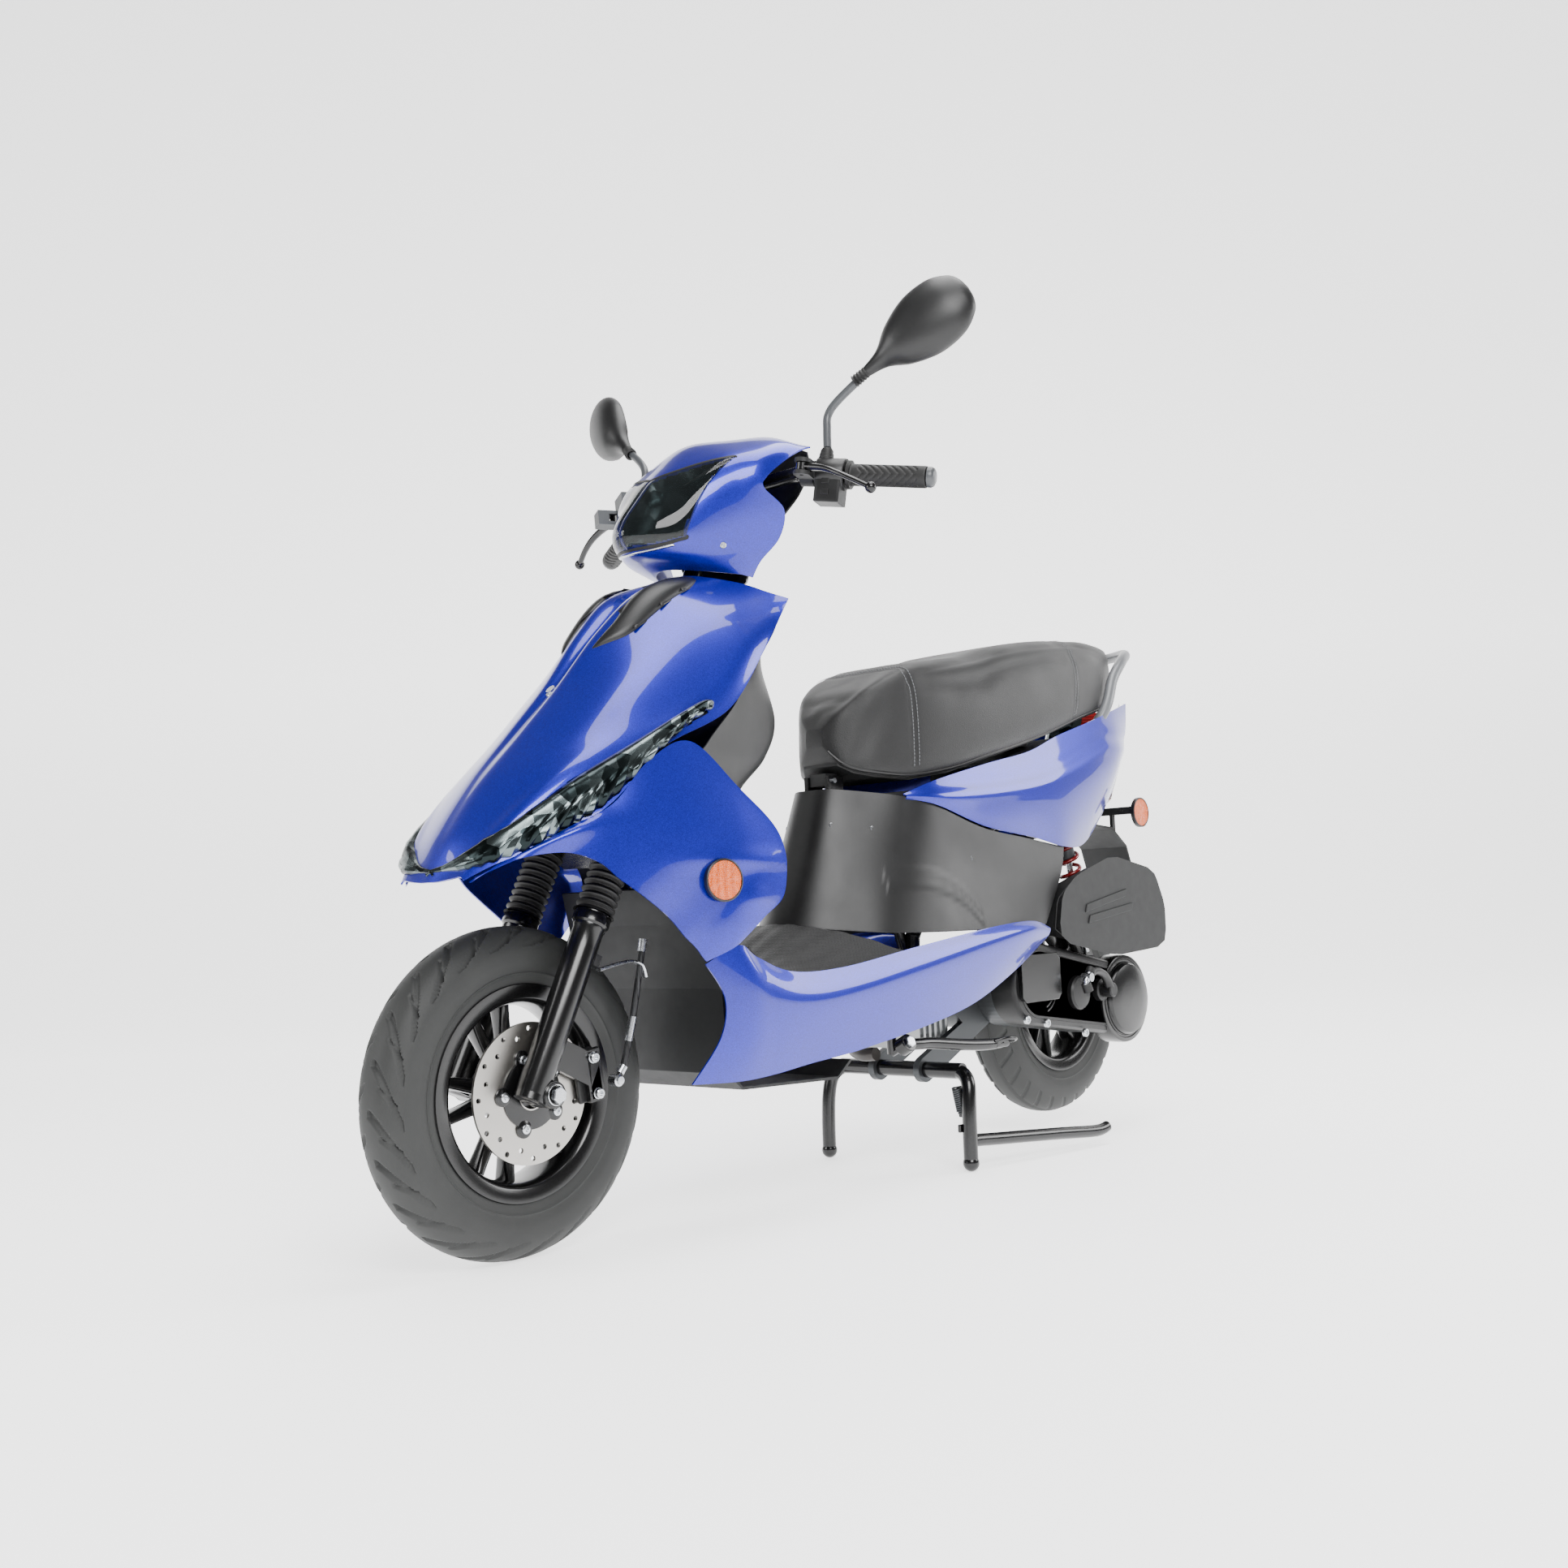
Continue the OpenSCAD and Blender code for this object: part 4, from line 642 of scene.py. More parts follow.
cover_screws = [bolt(laid(guides([p]), cover_cheek, 1, 0.0)[0], [0.35, 0.93, 0.08], 0.009, 0.0025)
                for p in ([84, 58, 560], [34, 84, 552], [-150, 140, 500])]
make("cover_screws", cover_screws + [other_side(p) for p in cover_screws], zinc, "chassis")
make("lock_ring", turned([(0.0135, 0), (0.0185, 0.001), (0.0185, 0.006), (0.0135, 0.008)],
                         guides([[252, -62, 800]])[0], [-1, 0, 0], 48), zinc, "chassis")

# ---------- Tail panels, tail lamp and rail -------------------------
# Two lacquered panels meet the tail lamp under a grey powder-coated rail that runs round the seat's back.
tail_rows = guides([
    [[-20, 112, 606], [-80, 130, 628], [-220, 134, 659], [-350, 132, 684], [-450, 128, 716], [-570, 122, 748],
     [-665, 110, 773], [-768, 86, 798]],
    [[-22, 116, 603], [-78, 139, 604], [-215, 146, 608], [-348, 148, 616], [-448, 146, 634], [-566, 138, 655],
     [-665, 123, 685], [-742, 92, 712]],
    [[-24, 113, 600], [-76, 133, 590], [-198, 139, 554], [-345, 135, 535], [-458, 127, 518], [-560, 101, 524],
     [-650, 82, 570], [-716, 76, 628]]])
tail = skin(tail_rows, 24, 12)
shoulder = smooth(guides([[-40, 0, 612], [-140, 0, 622], [-260, 0, 634], [-380, 0, 652], [-500, 0, 686],
                          [-620, 0, 726]]), 10)
away = tail[..., 2] - np.interp(-tail[..., 0], -shoulder[:, 0], shoulder[:, 2])
tail = tail + normals(tail) * (0.0018 * np.exp(-(away / 0.012) ** 2) - 0.0012 * np.exp(-((away + 0.022) / 0.01) ** 2))[..., None]
for tag, part in (("left", quads(tail)), ("right", other_side(quads(tail)))):
    make("tail_panel_" + tag, part, blue, "chassis", ["tail_panels"] if tag == "left" else (),
         wall=PANEL_WALL, bevel=0.0012)


def red_acrylic():
    """Red PMMA over ribs 6 mm apart that run across the lamp."""
    made, tree, core = finish("red_acrylic", "#a80d10", 0.0, 0.06, IOR=1.49, Coat_Weight=1.0,
                              Coat_Roughness=0.02)
    place = add_node(tree, "TexCoord")
    rib = add_node(tree, "TexWave", {"Scale": 1 / 0.019, "bands_direction": "Z"},
                   {"Vector": place.outputs["Object"]})
    relief(tree, core, rib.outputs["Fac"], 0.001, 0.5)
    return made


red = red_acrylic()
lamp_rows = guides([
    [[-885, 0, 796], [-845, 0, 698], [-800, 0, 606]],
    [[-862, 26, 797], [-826, 30, 700], [-782, 28, 608]],
    [[-820, 58, 800], [-790, 62, 706], [-752, 54, 616]],
    [[-769.4, 85.6, 798], [-743.4, 91.6, 712], [-717.4, 75.6, 628]]])
rear_lamp = skin(mirrored(lamp_rows), 10, 20)[::-1]
middle_row = np.abs(middles(rear_lamp, [1, 1])[..., 0]) < 0.052
make("tail_lamp_lens", quads(rear_lamp, keep=middle_row), red, "chassis", ["tail_lamp"],
     wall=0.003)
make("rear_signal_lenses", quads(rear_lamp, keep=~middle_row), smoked, "chassis", wall=0.003)
make("rear_signal_bowls", quads(rear_lamp - normals(rear_lamp) * 0.012, keep=~middle_row), bowl, "chassis")


def tube(path, radius, sides=16, steps=8, caps=True, aspect=1.0):
    """A round bar swept along a smoothed path: circles of the given radius square to it, at even steps."""
    p = smooth(path, steps)
    along = np.gradient(p, axis=0)
    along /= np.linalg.norm(along, axis=1, keepdims=True)
    main = np.abs(along).mean(axis=0)
    start = np.eye(3)[np.argmin(main)]
    u = np.cross(along, start)
    u /= np.linalg.norm(u, axis=1, keepdims=True)
    v = np.cross(along, u)
    a = np.linspace(0, 2 * math.pi, sides, endpoint=False)
    r = np.broadcast_to(radius, len(p)) if np.ndim(radius) == 0 else np.interp(
        np.linspace(0, 1, len(p)), np.linspace(0, 1, len(radius)), radius)
    g = p[:, None] + r[:, None, None] * (np.cos(a)[None, :,
                                                   None] * u[:,
                                                            None] * aspect + np.sin(a)[None, :, None] * v[:,
                                                            None])
    return quads(g[:, ::-1], ring=True, caps=caps)


def powder_coat(name, code, roughness):
    """Polyester powder coat on steel: orange peel 1.5 mm across."""
    made, tree, core = finish(name, code, 0.15, roughness, Coat_Weight=0.25, Coat_Roughness=0.2)
    place = add_node(tree, "TexCoord")
    peel = add_node(tree, "TexNoise", {"Scale": 1 / 0.0015, "Detail": 2.0},
                    {"Vector": place.outputs["Object"]})
    relief(tree, core, peel.outputs["Fac"], 0.0002, 0.3)
    return made


grey_coat = powder_coat("grey_powder_coat", "#6b6d70", 0.38)
enamel = powder_coat("black_enamel", "#0b0b0c", 0.22)
satin = powder_coat("satin_grey_coat", "#47494c", 0.4)
rail_rows = [[-612, 92, 713], [-618, 95, 728], [-650, 115, 782], [-690, 109, 838], [-742, 100, 878],
             [-800, 72, 899]]
rail_path = guides(rail_rows + [[-846, 0, 903]] + [[x, -y, z] for x, y, z in rail_rows[::-1]])
make("grab_rail_tube", tube(rail_path, 0.0105, 24, 12), grey_coat, "chassis", "grab_rail")

# ---------- Seat ----------
# A foam block under grained vinyl, stapled to the pan: a low front part and a raised rear part, with
# panels of vinyl joined by top-stitched seams.
def grained_vinyl():
    """Stretch vinyl with a leather grain 1.6 mm wide, a little shinier where it is worn."""
    made, tree, core = finish("grained_vinyl", "#101011", 0.0, 0.5, IOR=1.5, Sheen_Weight=0.08)
    place = add_node(tree, "TexCoord")
    grain = add_node(tree, "TexVoronoi", {"Scale": 1 / 0.0016}, {"Vector": place.outputs["Object"]})
    fine = add_node(tree, "TexNoise", {"Scale": 1 / 0.08, "Detail": 4.0}, {"Vector": place.outputs["Object"]})
    dull = add_node(tree, "MapRange", {"To Min": 0.42, "To Max": 0.6}, {"Value": fine.outputs["Fac"]})
    tree.links.new(dull.outputs["Result"], core.inputs["Roughness"])
    relief(tree, core, grain.outputs["Distance"], 0.0005, 0.5)
    return made


vinyl = grained_vinyl()
stations = np.array([
    [62, 18, 690, 722], [50, 44, 662, 745], [30, 64, 649, 768], [0, 88, 642, 794], [-60, 112, 637, 822],
    [-150, 128, 650, 836], [-250, 136, 676, 852], [-360, 137, 702, 872], [-470, 131, 731, 888],
    [-580, 116, 761, 898],
    [-680, 96, 784, 903], [-750, 72, 808, 902], [-790, 42, 832, 894]], float)
half_ring = np.array([[0, 0], [0.5, 0], [0.85, 0], [0.965, 0.06], [1, 0.3], [0.985, 0.62], [0.965, 0.82],
                      [0.9, 0.94],
                      [0.76, 0.99], [0.38, 1.0], [0, 1]])
ring_points = np.concatenate([half_ring, half_ring[-2:0:-1] * [-1, 1]])
s = smooth(stations, 10)
r = smooth(np.concatenate([ring_points, ring_points[:1]]), 4)[:-1]
seat = np.stack([np.broadcast_to(s[:, None, 0], (len(s), len(r))), s[:, None, 1] * r[None, :, 0],
                 s[:, None, 2] + (s[:, None, 3] - s[:, None, 2]) * r[None, :, 1]], axis=-1)
seat = guides(seat.reshape(-1, 3)).reshape(seat.shape)[:, ::-1]
x_guide = (seat[..., 0] - TO_FRAME[0]) * 1000
topness = np.clip((r[::-1][None, :, 1] - 0.55) / 0.3, 0, 1)
step_up = 0.5 * (1 + np.tanh((-(x_guide) - 265) / 30))
seat[..., 2] += (0.008 * step_up - 0.004) * topness
CUSHION_TRAVEL = 0.006


def closed_normals(g):
    """Unit normals of a grid whose rows close on themselves."""
    wide = np.concatenate([g[:, -1:], g, g[:, :1]], axis=1)
    return normals(wide)[:, 1:-1]


def inflated(g):
    """The cover filled by foam: a voxel copy is blown up as cloth, and each grid point follows its
    nearest point on it along the normal, by no more than CUSHION_TRAVEL."""
    points, faces = quads(g, ring=True, caps=True)
    mesh = bpy.data.meshes.new("foam_try")
    mesh.from_pydata(points.tolist(), [], [f for group in faces for f in group.tolist()])
    foam = bpy.data.objects.new("foam_try", mesh)
    bpy.context.scene.collection.objects.link(foam)
    voxels = foam.modifiers.new("voxels", "REMESH")
    voxels.mode, voxels.voxel_size = "VOXEL", 0.006
    bpy.context.view_layer.objects.active = foam
    bpy.ops.object.modifier_apply(modifier="voxels")
    count = len(foam.data.vertices)
    rest = np.empty(count * 3)
    foam.data.vertices.foreach_get("co", rest)
    rest = rest.reshape(-1, 3)
    pinned = foam.vertex_groups.new(name="stapled")
    under = np.interp(-rest[:, 0], -s[:, 0] / 1000 - TO_FRAME[0], s[:, 2] / 1000)
    pinned.add(np.flatnonzero(rest[:, 2] < under + 0.012).tolist(), 1.0, "REPLACE")
    cloth = foam.modifiers.new("cover", "CLOTH")
    cloth.settings.quality = 5
    cloth.settings.mass = 0.4
    cloth.settings.tension_stiffness = cloth.settings.compression_stiffness = 25
    cloth.settings.bending_stiffness = 4
    cloth.settings.use_pressure = True
    cloth.settings.uniform_pressure_force = 4.0
    cloth.settings.vertex_group_mass = "stapled"
    cloth.settings.effector_weights.gravity = 0
    cloth.point_cache.frame_start, cloth.point_cache.frame_end = 1, 20
    scene = bpy.context.scene
    for frame_number in range(1, 21):
        scene.frame_set(frame_number)
    blown = foam.evaluated_get(bpy.context.evaluated_depsgraph_get()).to_mesh()
    moved = np.empty(count * 3)
    blown.vertices.foreach_get("co", moved)
    moved = moved.reshape(-1, 3)
    scene.frame_set(1)
    flat, n = g.reshape(-1, 3), closed_normals(g).reshape(-1, 3)
    near = np.concatenate([np.argmin(((c[:, None] - rest[None]) ** 2).sum(-1), axis=1)
                           for c in np.array_split(flat, max(1, len(flat) // 100))])
    swell = ((moved[near] - rest[near]) * n).sum(-1).reshape(g.shape[:2])
    for _ in range(3):
        swell = (swell + np.roll(swell, 1, 1) + np.roll(swell, -1, 1)) / 3
        swell[1:-1] = (swell[:-2] + swell[1:-1] + swell[2:]) / 3
    bpy.data.objects.remove(foam)
    return g + closed_normals(g) * np.clip(swell, -CUSHION_TRAVEL, CUSHION_TRAVEL)[..., None]


seat = inflated(seat)
seat_skin = seat.copy()
seam_lines = [(-62, 0.0), (-545, 24.0)]
for start, slant in seam_lines:
    line = start + slant * (1 - r[::-1][None, :, 1])
    x_now = (seat[..., 0] - TO_FRAME[0]) * 1000
    groove = np.exp(-((x_now - line) / 4.0) ** 2) * (r[::-1][None, :, 1] > 0.02)
    seat_skin = seat_skin - closed_normals(seat) * (0.0022 * groove)[..., None]
height_share = r[::-1][None, :, 1]
beside = np.exp(-((height_share - 0.8) / 0.018) ** 2) * (x_now < -64) * (x_now > -545)
seat_skin = seat_skin - closed_normals(seat) * (0.0018 * beside)[..., None]
cushion = make("seat_cover", quads(seat_skin, ring=True, caps=True), vinyl, "seat",
               "seat_cushion",
               crease=60)

# Two rows of stitches follow each seam, 4.5 mm long and 6 mm apart.
thread = finish("grey_thread", "#6e7073", 0.0, 0.7)[0]
stitches = []
for start, slant in seam_lines:
    for shift in (-5.0, 5.0):
        line = start + shift + slant * (1 - r[::-1][:, 1])
        x_now = (seat[..., 0] - TO_FRAME[0]) * 1000
        rows = np.argmin(np.abs(x_now - line[None, :]), axis=0)
        cols = np.flatnonzero(r[::-1][:, 1] > 0.04)
        path = seat[rows[cols], cols].copy()
        path[:, 0] = line[cols] / 1000 + TO_FRAME[0]
        n = closed_normals(seat)[rows[cols], cols]
        order = np.argsort(-np.unwrap(np.arctan2(path[:, 2] - 0.77, path[:, 1])))
        path, n = path[order], n[order]
        reach = np.concatenate([[0], np.cumsum(np.linalg.norm(np.diff(path, axis=0), axis=1))])
        marks = np.arange(0.004, reach[-1] - 0.006, 0.006)
        ends = [np.stack([np.interp(m + d, reach, path[:, k]) for k in range(3)], axis=1)
                for d in (0, 0.00225, 0.0045) for m in [marks]]
        out = np.stack([np.interp(marks, reach, n[:, k]) for k in range(3)], axis=1)
        out /= np.linalg.norm(out, axis=1, keepdims=True)
        ahead = ends[2] - ends[0]
        ahead /= np.linalg.norm(ahead, axis=1, keepdims=True)
        across_stitch = np.cross(ahead, out) * 0.0006
        stitch = np.stack([ends[0] + across_stitch, ends[0] - across_stitch,
                           ends[1] - across_stitch + out * 0.0008,
                           ends[1] + across_stitch + out * 0.0008, ends[2] + across_stitch,
                           ends[2] - across_stitch], axis=1)
        stitch = stitch.reshape(-1, 3)
        base = np.arange(len(marks))[:, None] * 6
        stitches.append((stitch, [base + [0, 1, 2, 3], base + [3, 2, 5, 4]]))
make("seat_stitching", stitches, thread, "seat", wall=0.0004)
make("seat_edge_beading", tube(np.concatenate([seat[4:-1:6,
                                                    np.argmin(np.abs(r[::-1][:, 1] - 0.02) + 10 * (r[::-1][:,
                                                            0] < 0.9))]]), 0.0028, 8, 2),
     black, "seat")

# ---------- Handlebar cowl, headlamp and dash ----------
# The cowl is lacquered ABS that turns with the bar. One headlamp fills its face, and the rider sees a
# grained black dash with a gauge.
cowl_rows = guides([
    [[195, 0, 1155], [265, 0, 1150], [325, 0, 1138], [378, 0, 1095], [425, 0, 1045], [465, 0, 990],
     [448, 0, 958], [405, 0, 948], [383, 0, 940]],
    [[196, 42, 1152], [262, 42, 1148], [318, 42, 1134], [370, 42, 1094], [412, 40, 1045], [444, 38, 990],
     [428, 36, 956], [392, 36, 945], [365, 35, 937]],
    [[205, 90, 1148], [250, 90, 1146], [300, 92, 1125], [347, 95, 1094], [382, 90, 1048], [402, 74, 985],
     [386, 68, 957], [356, 64, 943], [330, 60, 934]],
    [[221, 135, 1130], [250, 135, 1128], [290, 135, 1108], [318, 131, 1084], [332, 122, 1048],
     [335, 108, 1000], [320, 94, 968], [306, 82, 946], [295, 76, 932]],
    [[228, 166, 1118], [247, 160, 1110], [274, 151, 1090], [300, 142, 1066], [303, 138, 1050],
     [266, 142, 1022], [256, 122, 985], [270, 94, 952], [270, 76, 930]]])
cowl = skin(mirrored(cowl_rows), 14, 14)
eye_low = guides([[0, 0, 961], [0, 30, 963], [0, 52, 967], [0, 71, 974]])
eye_high = guides([[0, 0, 1072], [0, 30, 1080], [0, 70, 1090], [0, 110, 1098]])
eye_outline = outline_of(eye_low, eye_high)[:, 1:]
seen_front = np.stack([np.abs(middles(cowl, [1, 1])[..., 0]), middles(cowl, [2, 2])[..., 0]], axis=-1)
ahead_of_dash = middles(cowl, [0, 0])[..., 0] > guides([[300, 0, 0]])[0][0]
eye_gap = inside(seen_front, shrunk(eye_outline, 0.94)) & ahead_of_dash
make("headlamp_cowl_skin", quads(cowl, keep=~eye_gap), blue, "steering", "headlamp_cowl",
     wall=PANEL_WALL, bevel=0.0012)
face = cowl[:, 40:90]
half_face = face[len(face) // 2:]
eye = across_opening(eye_low, eye_high, 14, 25)
eye_lens = laid(eye, half_face, 0, (0.0006 + pillow(*eye.shape[:2], 0.0015, 10)).ravel())
eye_well = laid(eye, half_face, 0, (0.0 - pillow(*eye.shape[:2], 0.030, 4)).ravel())
for side, turned_over in (("left", lambda p: p), ("right", other_side)):
    make("headlamp_lens_" + side, turned_over(quads(eye_lens)), smoked, "steering",
         ["headlamp"] if side == "left" else ())
    make("headlamp_bowl_" + side, turned_over(quads(eye_well)), bowl, "steering")
    rim = np.concatenate([smooth(eye_low, 12), smooth(eye_high, 12)[::-1]])
    make("headlamp_seal_" + side, turned_over(strip(rim, half_face, 0, 0.005, 0.0011)), seal_and_gap_shade, "steering")
    fins = []
    for k in range(6):
        low_end, high_end = [0, 66 + 6 * k, 1052 + 6.0 * k], [0, 90 + 3.5 * k, 1070 + 4.5 * k]
        fins.append(strip(smooth(guides([low_end, high_end]), 8), half_face, 0, 0.0022, 0.0016))
    make("headlamp_fins_" + side, [turned_over(f) for f in fins], seal_and_gap_shade, "steering")
lip = smooth(guides([[0, -58, 965], [0, -30, 959], [0, 0, 957], [0, 30, 959], [0, 58, 965]]), 12)
make("headlamp_lip", strip(lip, face, 0, 0.004, 0.0014), zinc, "steering", wall=0.0008)
cowl_screw = laid(guides([[0, 88, 968]]), half_face, 0, 0.0)[0]
cowl_screws = [bolt(cowl_screw, [0.75, 0.62, -0.2], 0.010, 0.003)]
make("cowl_screws", cowl_screws + [other_side(p) for p in cowl_screws], zinc, "steering")
dash_rows = guides([
    [[192, 0, 1151], [168, 0, 1112], [172, 0, 1060], [196, 0, 1010], [206, 0, 985], [218, 0, 950],
     [224, 0, 933]],
    [[194, 50, 1149], [172, 50, 1110], [176, 50, 1060], [200, 46, 1010], [212, 40, 985], [228, 30, 950],
     [234, 28, 933]],
    [[207, 108, 1134], [192, 104, 1104], [198, 100, 1058], [224, 86, 1010], [234, 74, 985], [250, 56, 950],
     [254, 50, 932]],
    [[225, 158, 1112], [214, 150, 1088], [226, 138, 1050], [250, 118, 1010], [252, 102, 985], [264, 72, 950],
     [264, 58, 931]]])
dash = skin(mirrored(dash_rows), 12, 10)[::-1]
make("dash_skin", quads(dash), black, "steering", "dash_cover", wall=PANEL_WALL, bevel=0.0012)
dial_angle = np.linspace(0, 2 * math.pi, 60, endpoint=False)
dial_ring = np.stack([0 * dial_angle, 0.072 * np.sign(np.cos(dial_angle)) * np.abs(np.cos(dial_angle))**0.7,
                      1.118 + 0.018 * np.sign(np.sin(dial_angle)) * np.abs(np.sin(dial_angle))**0.8], axis=-1)
dial_grid = np.stack([dial_ring * [1, k, 1] + [0, 0,
                                               1.118 * 0 + (1 - k) * 0] for k in (1.0, 0.66, 0.33, 0.02)])
dial_grid[..., 2] = 1.118 + (dial_ring[None, :, 2] - 1.118) * np.array([1.0, 0.66, 0.33, 0.02])[:, None]
make("gauge_lens", quads(laid(dial_grid, dash, 0, 0.0015), ring=True), smoked, "steering")
make("gauge_face", quads(laid(dial_grid, dash, 0, 0.0004), ring=True), seal_and_gap_shade, "steering")

# ---------- Handlebar, grips, levers and mirrors ----------
# A bent steel tube carries rubber grips, clamped switch bodies and cast levers, all black.
# Each mirror is a moulded shell with a glass plate, on a bent stem in a tapered boot.
def turn_y(angle):
    """Rotation about Y by an angle in degrees."""
    c, s_ = math.cos(math.radians(angle)), math.sin(math.radians(angle))
    return np.array([[c, 0, s_], [0, 1, 0], [-s_, 0, c]])


def turn_z(angle):
    """Rotation about Z by an angle in degrees."""
    c, s_ = math.cos(math.radians(angle)), math.sin(math.radians(angle))
    return np.array([[c, -s_, 0], [s_, c, 0], [0, 0, 1]])


def carried(parts, rotation, origin):
    """Parts turned by a rotation matrix and then moved so that their own origin lies at origin."""
    parts = parts if isinstance(parts, list) else [parts]
    return [(p @ rotation.T + origin, f) for p, f in parts]


bar_dir = np.array([-50, 106, -18]) / np.linalg.norm([-50, 106, -18])
bar_turn = turn_z(math.degrees(math.atan2(bar_dir[1],
                                          bar_dir[0]))) @ turn_y(-math.degrees(math.asin(bar_dir[2])))
bar_end = guides([[178, 342, 1042]])[0]


def on_bar(parts, side):
    """Parts drawn along the left grip (+X outwards, millimetres) put on one side of the bar."""
    parts = parts if isinstance(parts, list) else [parts]
    placed = carried([(p / 1000, f) for p, f in parts], bar_turn, bar_end)
    return placed if side > 0 else [other_side(p) for p in placed]


def boxed(low, high):
    """A rectangular block between two corners."""
    (x0, y0, z0), (x1, y1, z1) = low, high
    g = np.array([[[x0, y0, z], [x1, y0, z], [x1, y1, z], [x0, y1, z]] for z in (z0, z1)], float)
    return quads(g, ring=True, caps=True)


def soft_rubber():
    """Moulded grip rubber, matt, with a faint cloudiness from handling."""
    made, tree, core = finish("soft_rubber", "#101010", 0.0, 0.55)
    place = add_node(tree, "TexCoord")
    cloud = add_node(tree, "TexNoise", {"Scale": 1 / 0.02, "Detail": 4.0},
                     {"Vector": place.outputs["Object"]})
    dull = add_node(tree, "MapRange", {"To Min": 0.45, "To Max": 0.68}, {"Value": cloud.outputs["Fac"]})
    tree.links.new(dull.outputs["Result"], core.inputs["Roughness"])
    return made


rubber = soft_rubber()
bar_left = guides([[178, 342, 1042]])[0]
bend_left = bar_left - bar_dir * 0.192
bar_path = [bar_left, bend_left + bar_dir * 0.02, bend_left, bend_left * [1, 0.85, 1], bend_left * [1, 0, 1]]
bar_path = np.array(bar_path + [p * [1, -1, 1] for p in bar_path[-2::-1]])
make("handlebar_tube", tube(bar_path, 0.0108, 24, 10), enamel, "steering")
grip_x = np.concatenate([[-118, -118, -113, -112.5], np.linspace(-111, -3, 110), [-1, 0, 0]])
grip_r = np.concatenate([[11.5, 21, 21, 16.6], np.full(110, 16.0), [15.6, 14, 11]])
ring_angle = np.linspace(0, 2 * math.pi, 72, endpoint=False)
diagonal = np.abs(((grip_x[:, None] / 11 + 2.2 * np.abs(((ring_angle / math.pi) % 1) - 0.5)[None,
                                                            :] * 2) % 1) - 0.5)
cut = (diagonal < 0.16) * ((grip_x > -102) & (grip_x < -12))[:,
                                                             None] * (np.abs(np.sin(ring_angle)) > 0.18)[None,
                                                            :]
grip_radius = grip_r[:, None] - 1.1 * cut
grip = np.stack([np.broadcast_to(grip_x[:, None], cut.shape), grip_radius * np.sin(ring_angle),
                 grip_radius * np.cos(ring_angle)], axis=-1)
plug = turned([(1e-3, 12), (9, 12), (13, 10), (15, 6), (15, 1), (12, 0)], [0, 0, 0], [1, 0, 0], 40)
for side, sign, body, node in (("left", 1, "steering", "left_grip"),
                               ("right", -1, "throttle", "throttle_grip")):
    make("grip_" + side, on_bar([quads(grip, ring=True)], sign), rubber, body, node)
    make("bar_end_plug_" + side, on_bar(plug, sign), satin, body)
for side, sign, node in (("left", 1, "switch_left"), ("right", -1, "switch_right")):
    shell = [turned([(11.2, -164), (22, -164), (23.4, -162), (23.4, -123), (22, -121), (11.2, -121)],
                    [0, 0, 0],
                    [1, 0, 0], 48)]
    make("switch_shell_" + side, on_bar(shell, sign), black, "steering", bevel=0.0006)
    make("switch_box_" + side, on_bar(boxed((-161.5, -20.3, -44.5), (-124.5, 20.3, -2)), sign), black,
         "steering",
         bevel=0.003, outward=True)
    boot = [(10, 18), (11.5, 18), (11.5, 24), (10.5, 25), (10.5, 29), (9.5, 30), (9.5, 34), (7, 38), (6, 38)]
    make("mirror_boot_" + side, on_bar(turned([(a, b) for a, b in boot], [-154, 0, 0], [0, 0, 1], 36), sign),
         rubber,
         "steering")
    for switch_z in (-30, -14):
        key = boxed((-152, -21.6, switch_z - 4), (-140, -19, switch_z + 4))
        make("switch_key_%s_%d" % (side, -switch_z), on_bar(key, sign), black, "steering",
             bevel=0.001)
lever_path = [[-172, -42, 0], [-142, -56, -4], [-118, -67, -12], [-92, -73, -22], [-62, -75, -34]]
lever_ball = turned([(8.2 * math.sin(a), -8.2 * math.cos(a)) for a in np.linspace(0.02, 3.12, 14)],
                    [-62, -75, -34],
                    [0, 0, 1], 28)
hinge_disc = turned([(1e-3, 6), (8, 6), (9.2, 5), (9.2, -5), (8, -6), (1e-3, -6)], [-176, -42, 0], [0, 0, 1],
                    32)
for side, sign in (("left", 1), ("right", -1)):
    lever = tube(np.array(lever_path, float), [7.2, 6.2, 5.4, 5.0, 4.6], 20, 8, aspect=0.8)
    make("brake_lever_" + side + "_cast", on_bar([lever, lever_ball, hinge_disc], sign), enamel,
         "lever_" + side,
         "brake_lever_" + side)
stem_points = guides([[235, 205, 1105], [228, 200, 1135], [224, 200, 1158], [218, 216, 1178],
                      [204, 261, 1211]])
for side, sign in (("left", 1), ("right", -1)):
    points = stem_points * [1, sign, 1]
    make("mirror_stem_" + side, tube(points, 0.0062, 20, 10), satin, "steering",
         "mirror_stems" if side == "left" else ())
mirror_axis = np.array([-50, 105, 76]) / np.linalg.norm([-50, 105, 76])
mirror_side = np.cross([-1, -0.25, 0.08], mirror_axis)
mirror_side /= np.linalg.norm(mirror_side)
mirror_back = np.cross(mirror_axis, mirror_side)
hub = guides([[204, 263, 1213]])[0]
mirror_sizes = smooth(np.array([[0, 8, 9], [28, 15, 14], [60, 36, 26], [102, 51, 31], [144, 50, 29],
                                [172, 36, 20],
                                [183, 20, 11], [186.4, 0.6, 0.4]], float), 10)
around = np.linspace(0, 2 * math.pi, 64, endpoint=False)
shell_depth = np.maximum(np.maximum(-8, -mirror_sizes[:, 1:2] * 0.9),
                         np.sin(around)[None, :] * mirror_sizes[:, 2:])
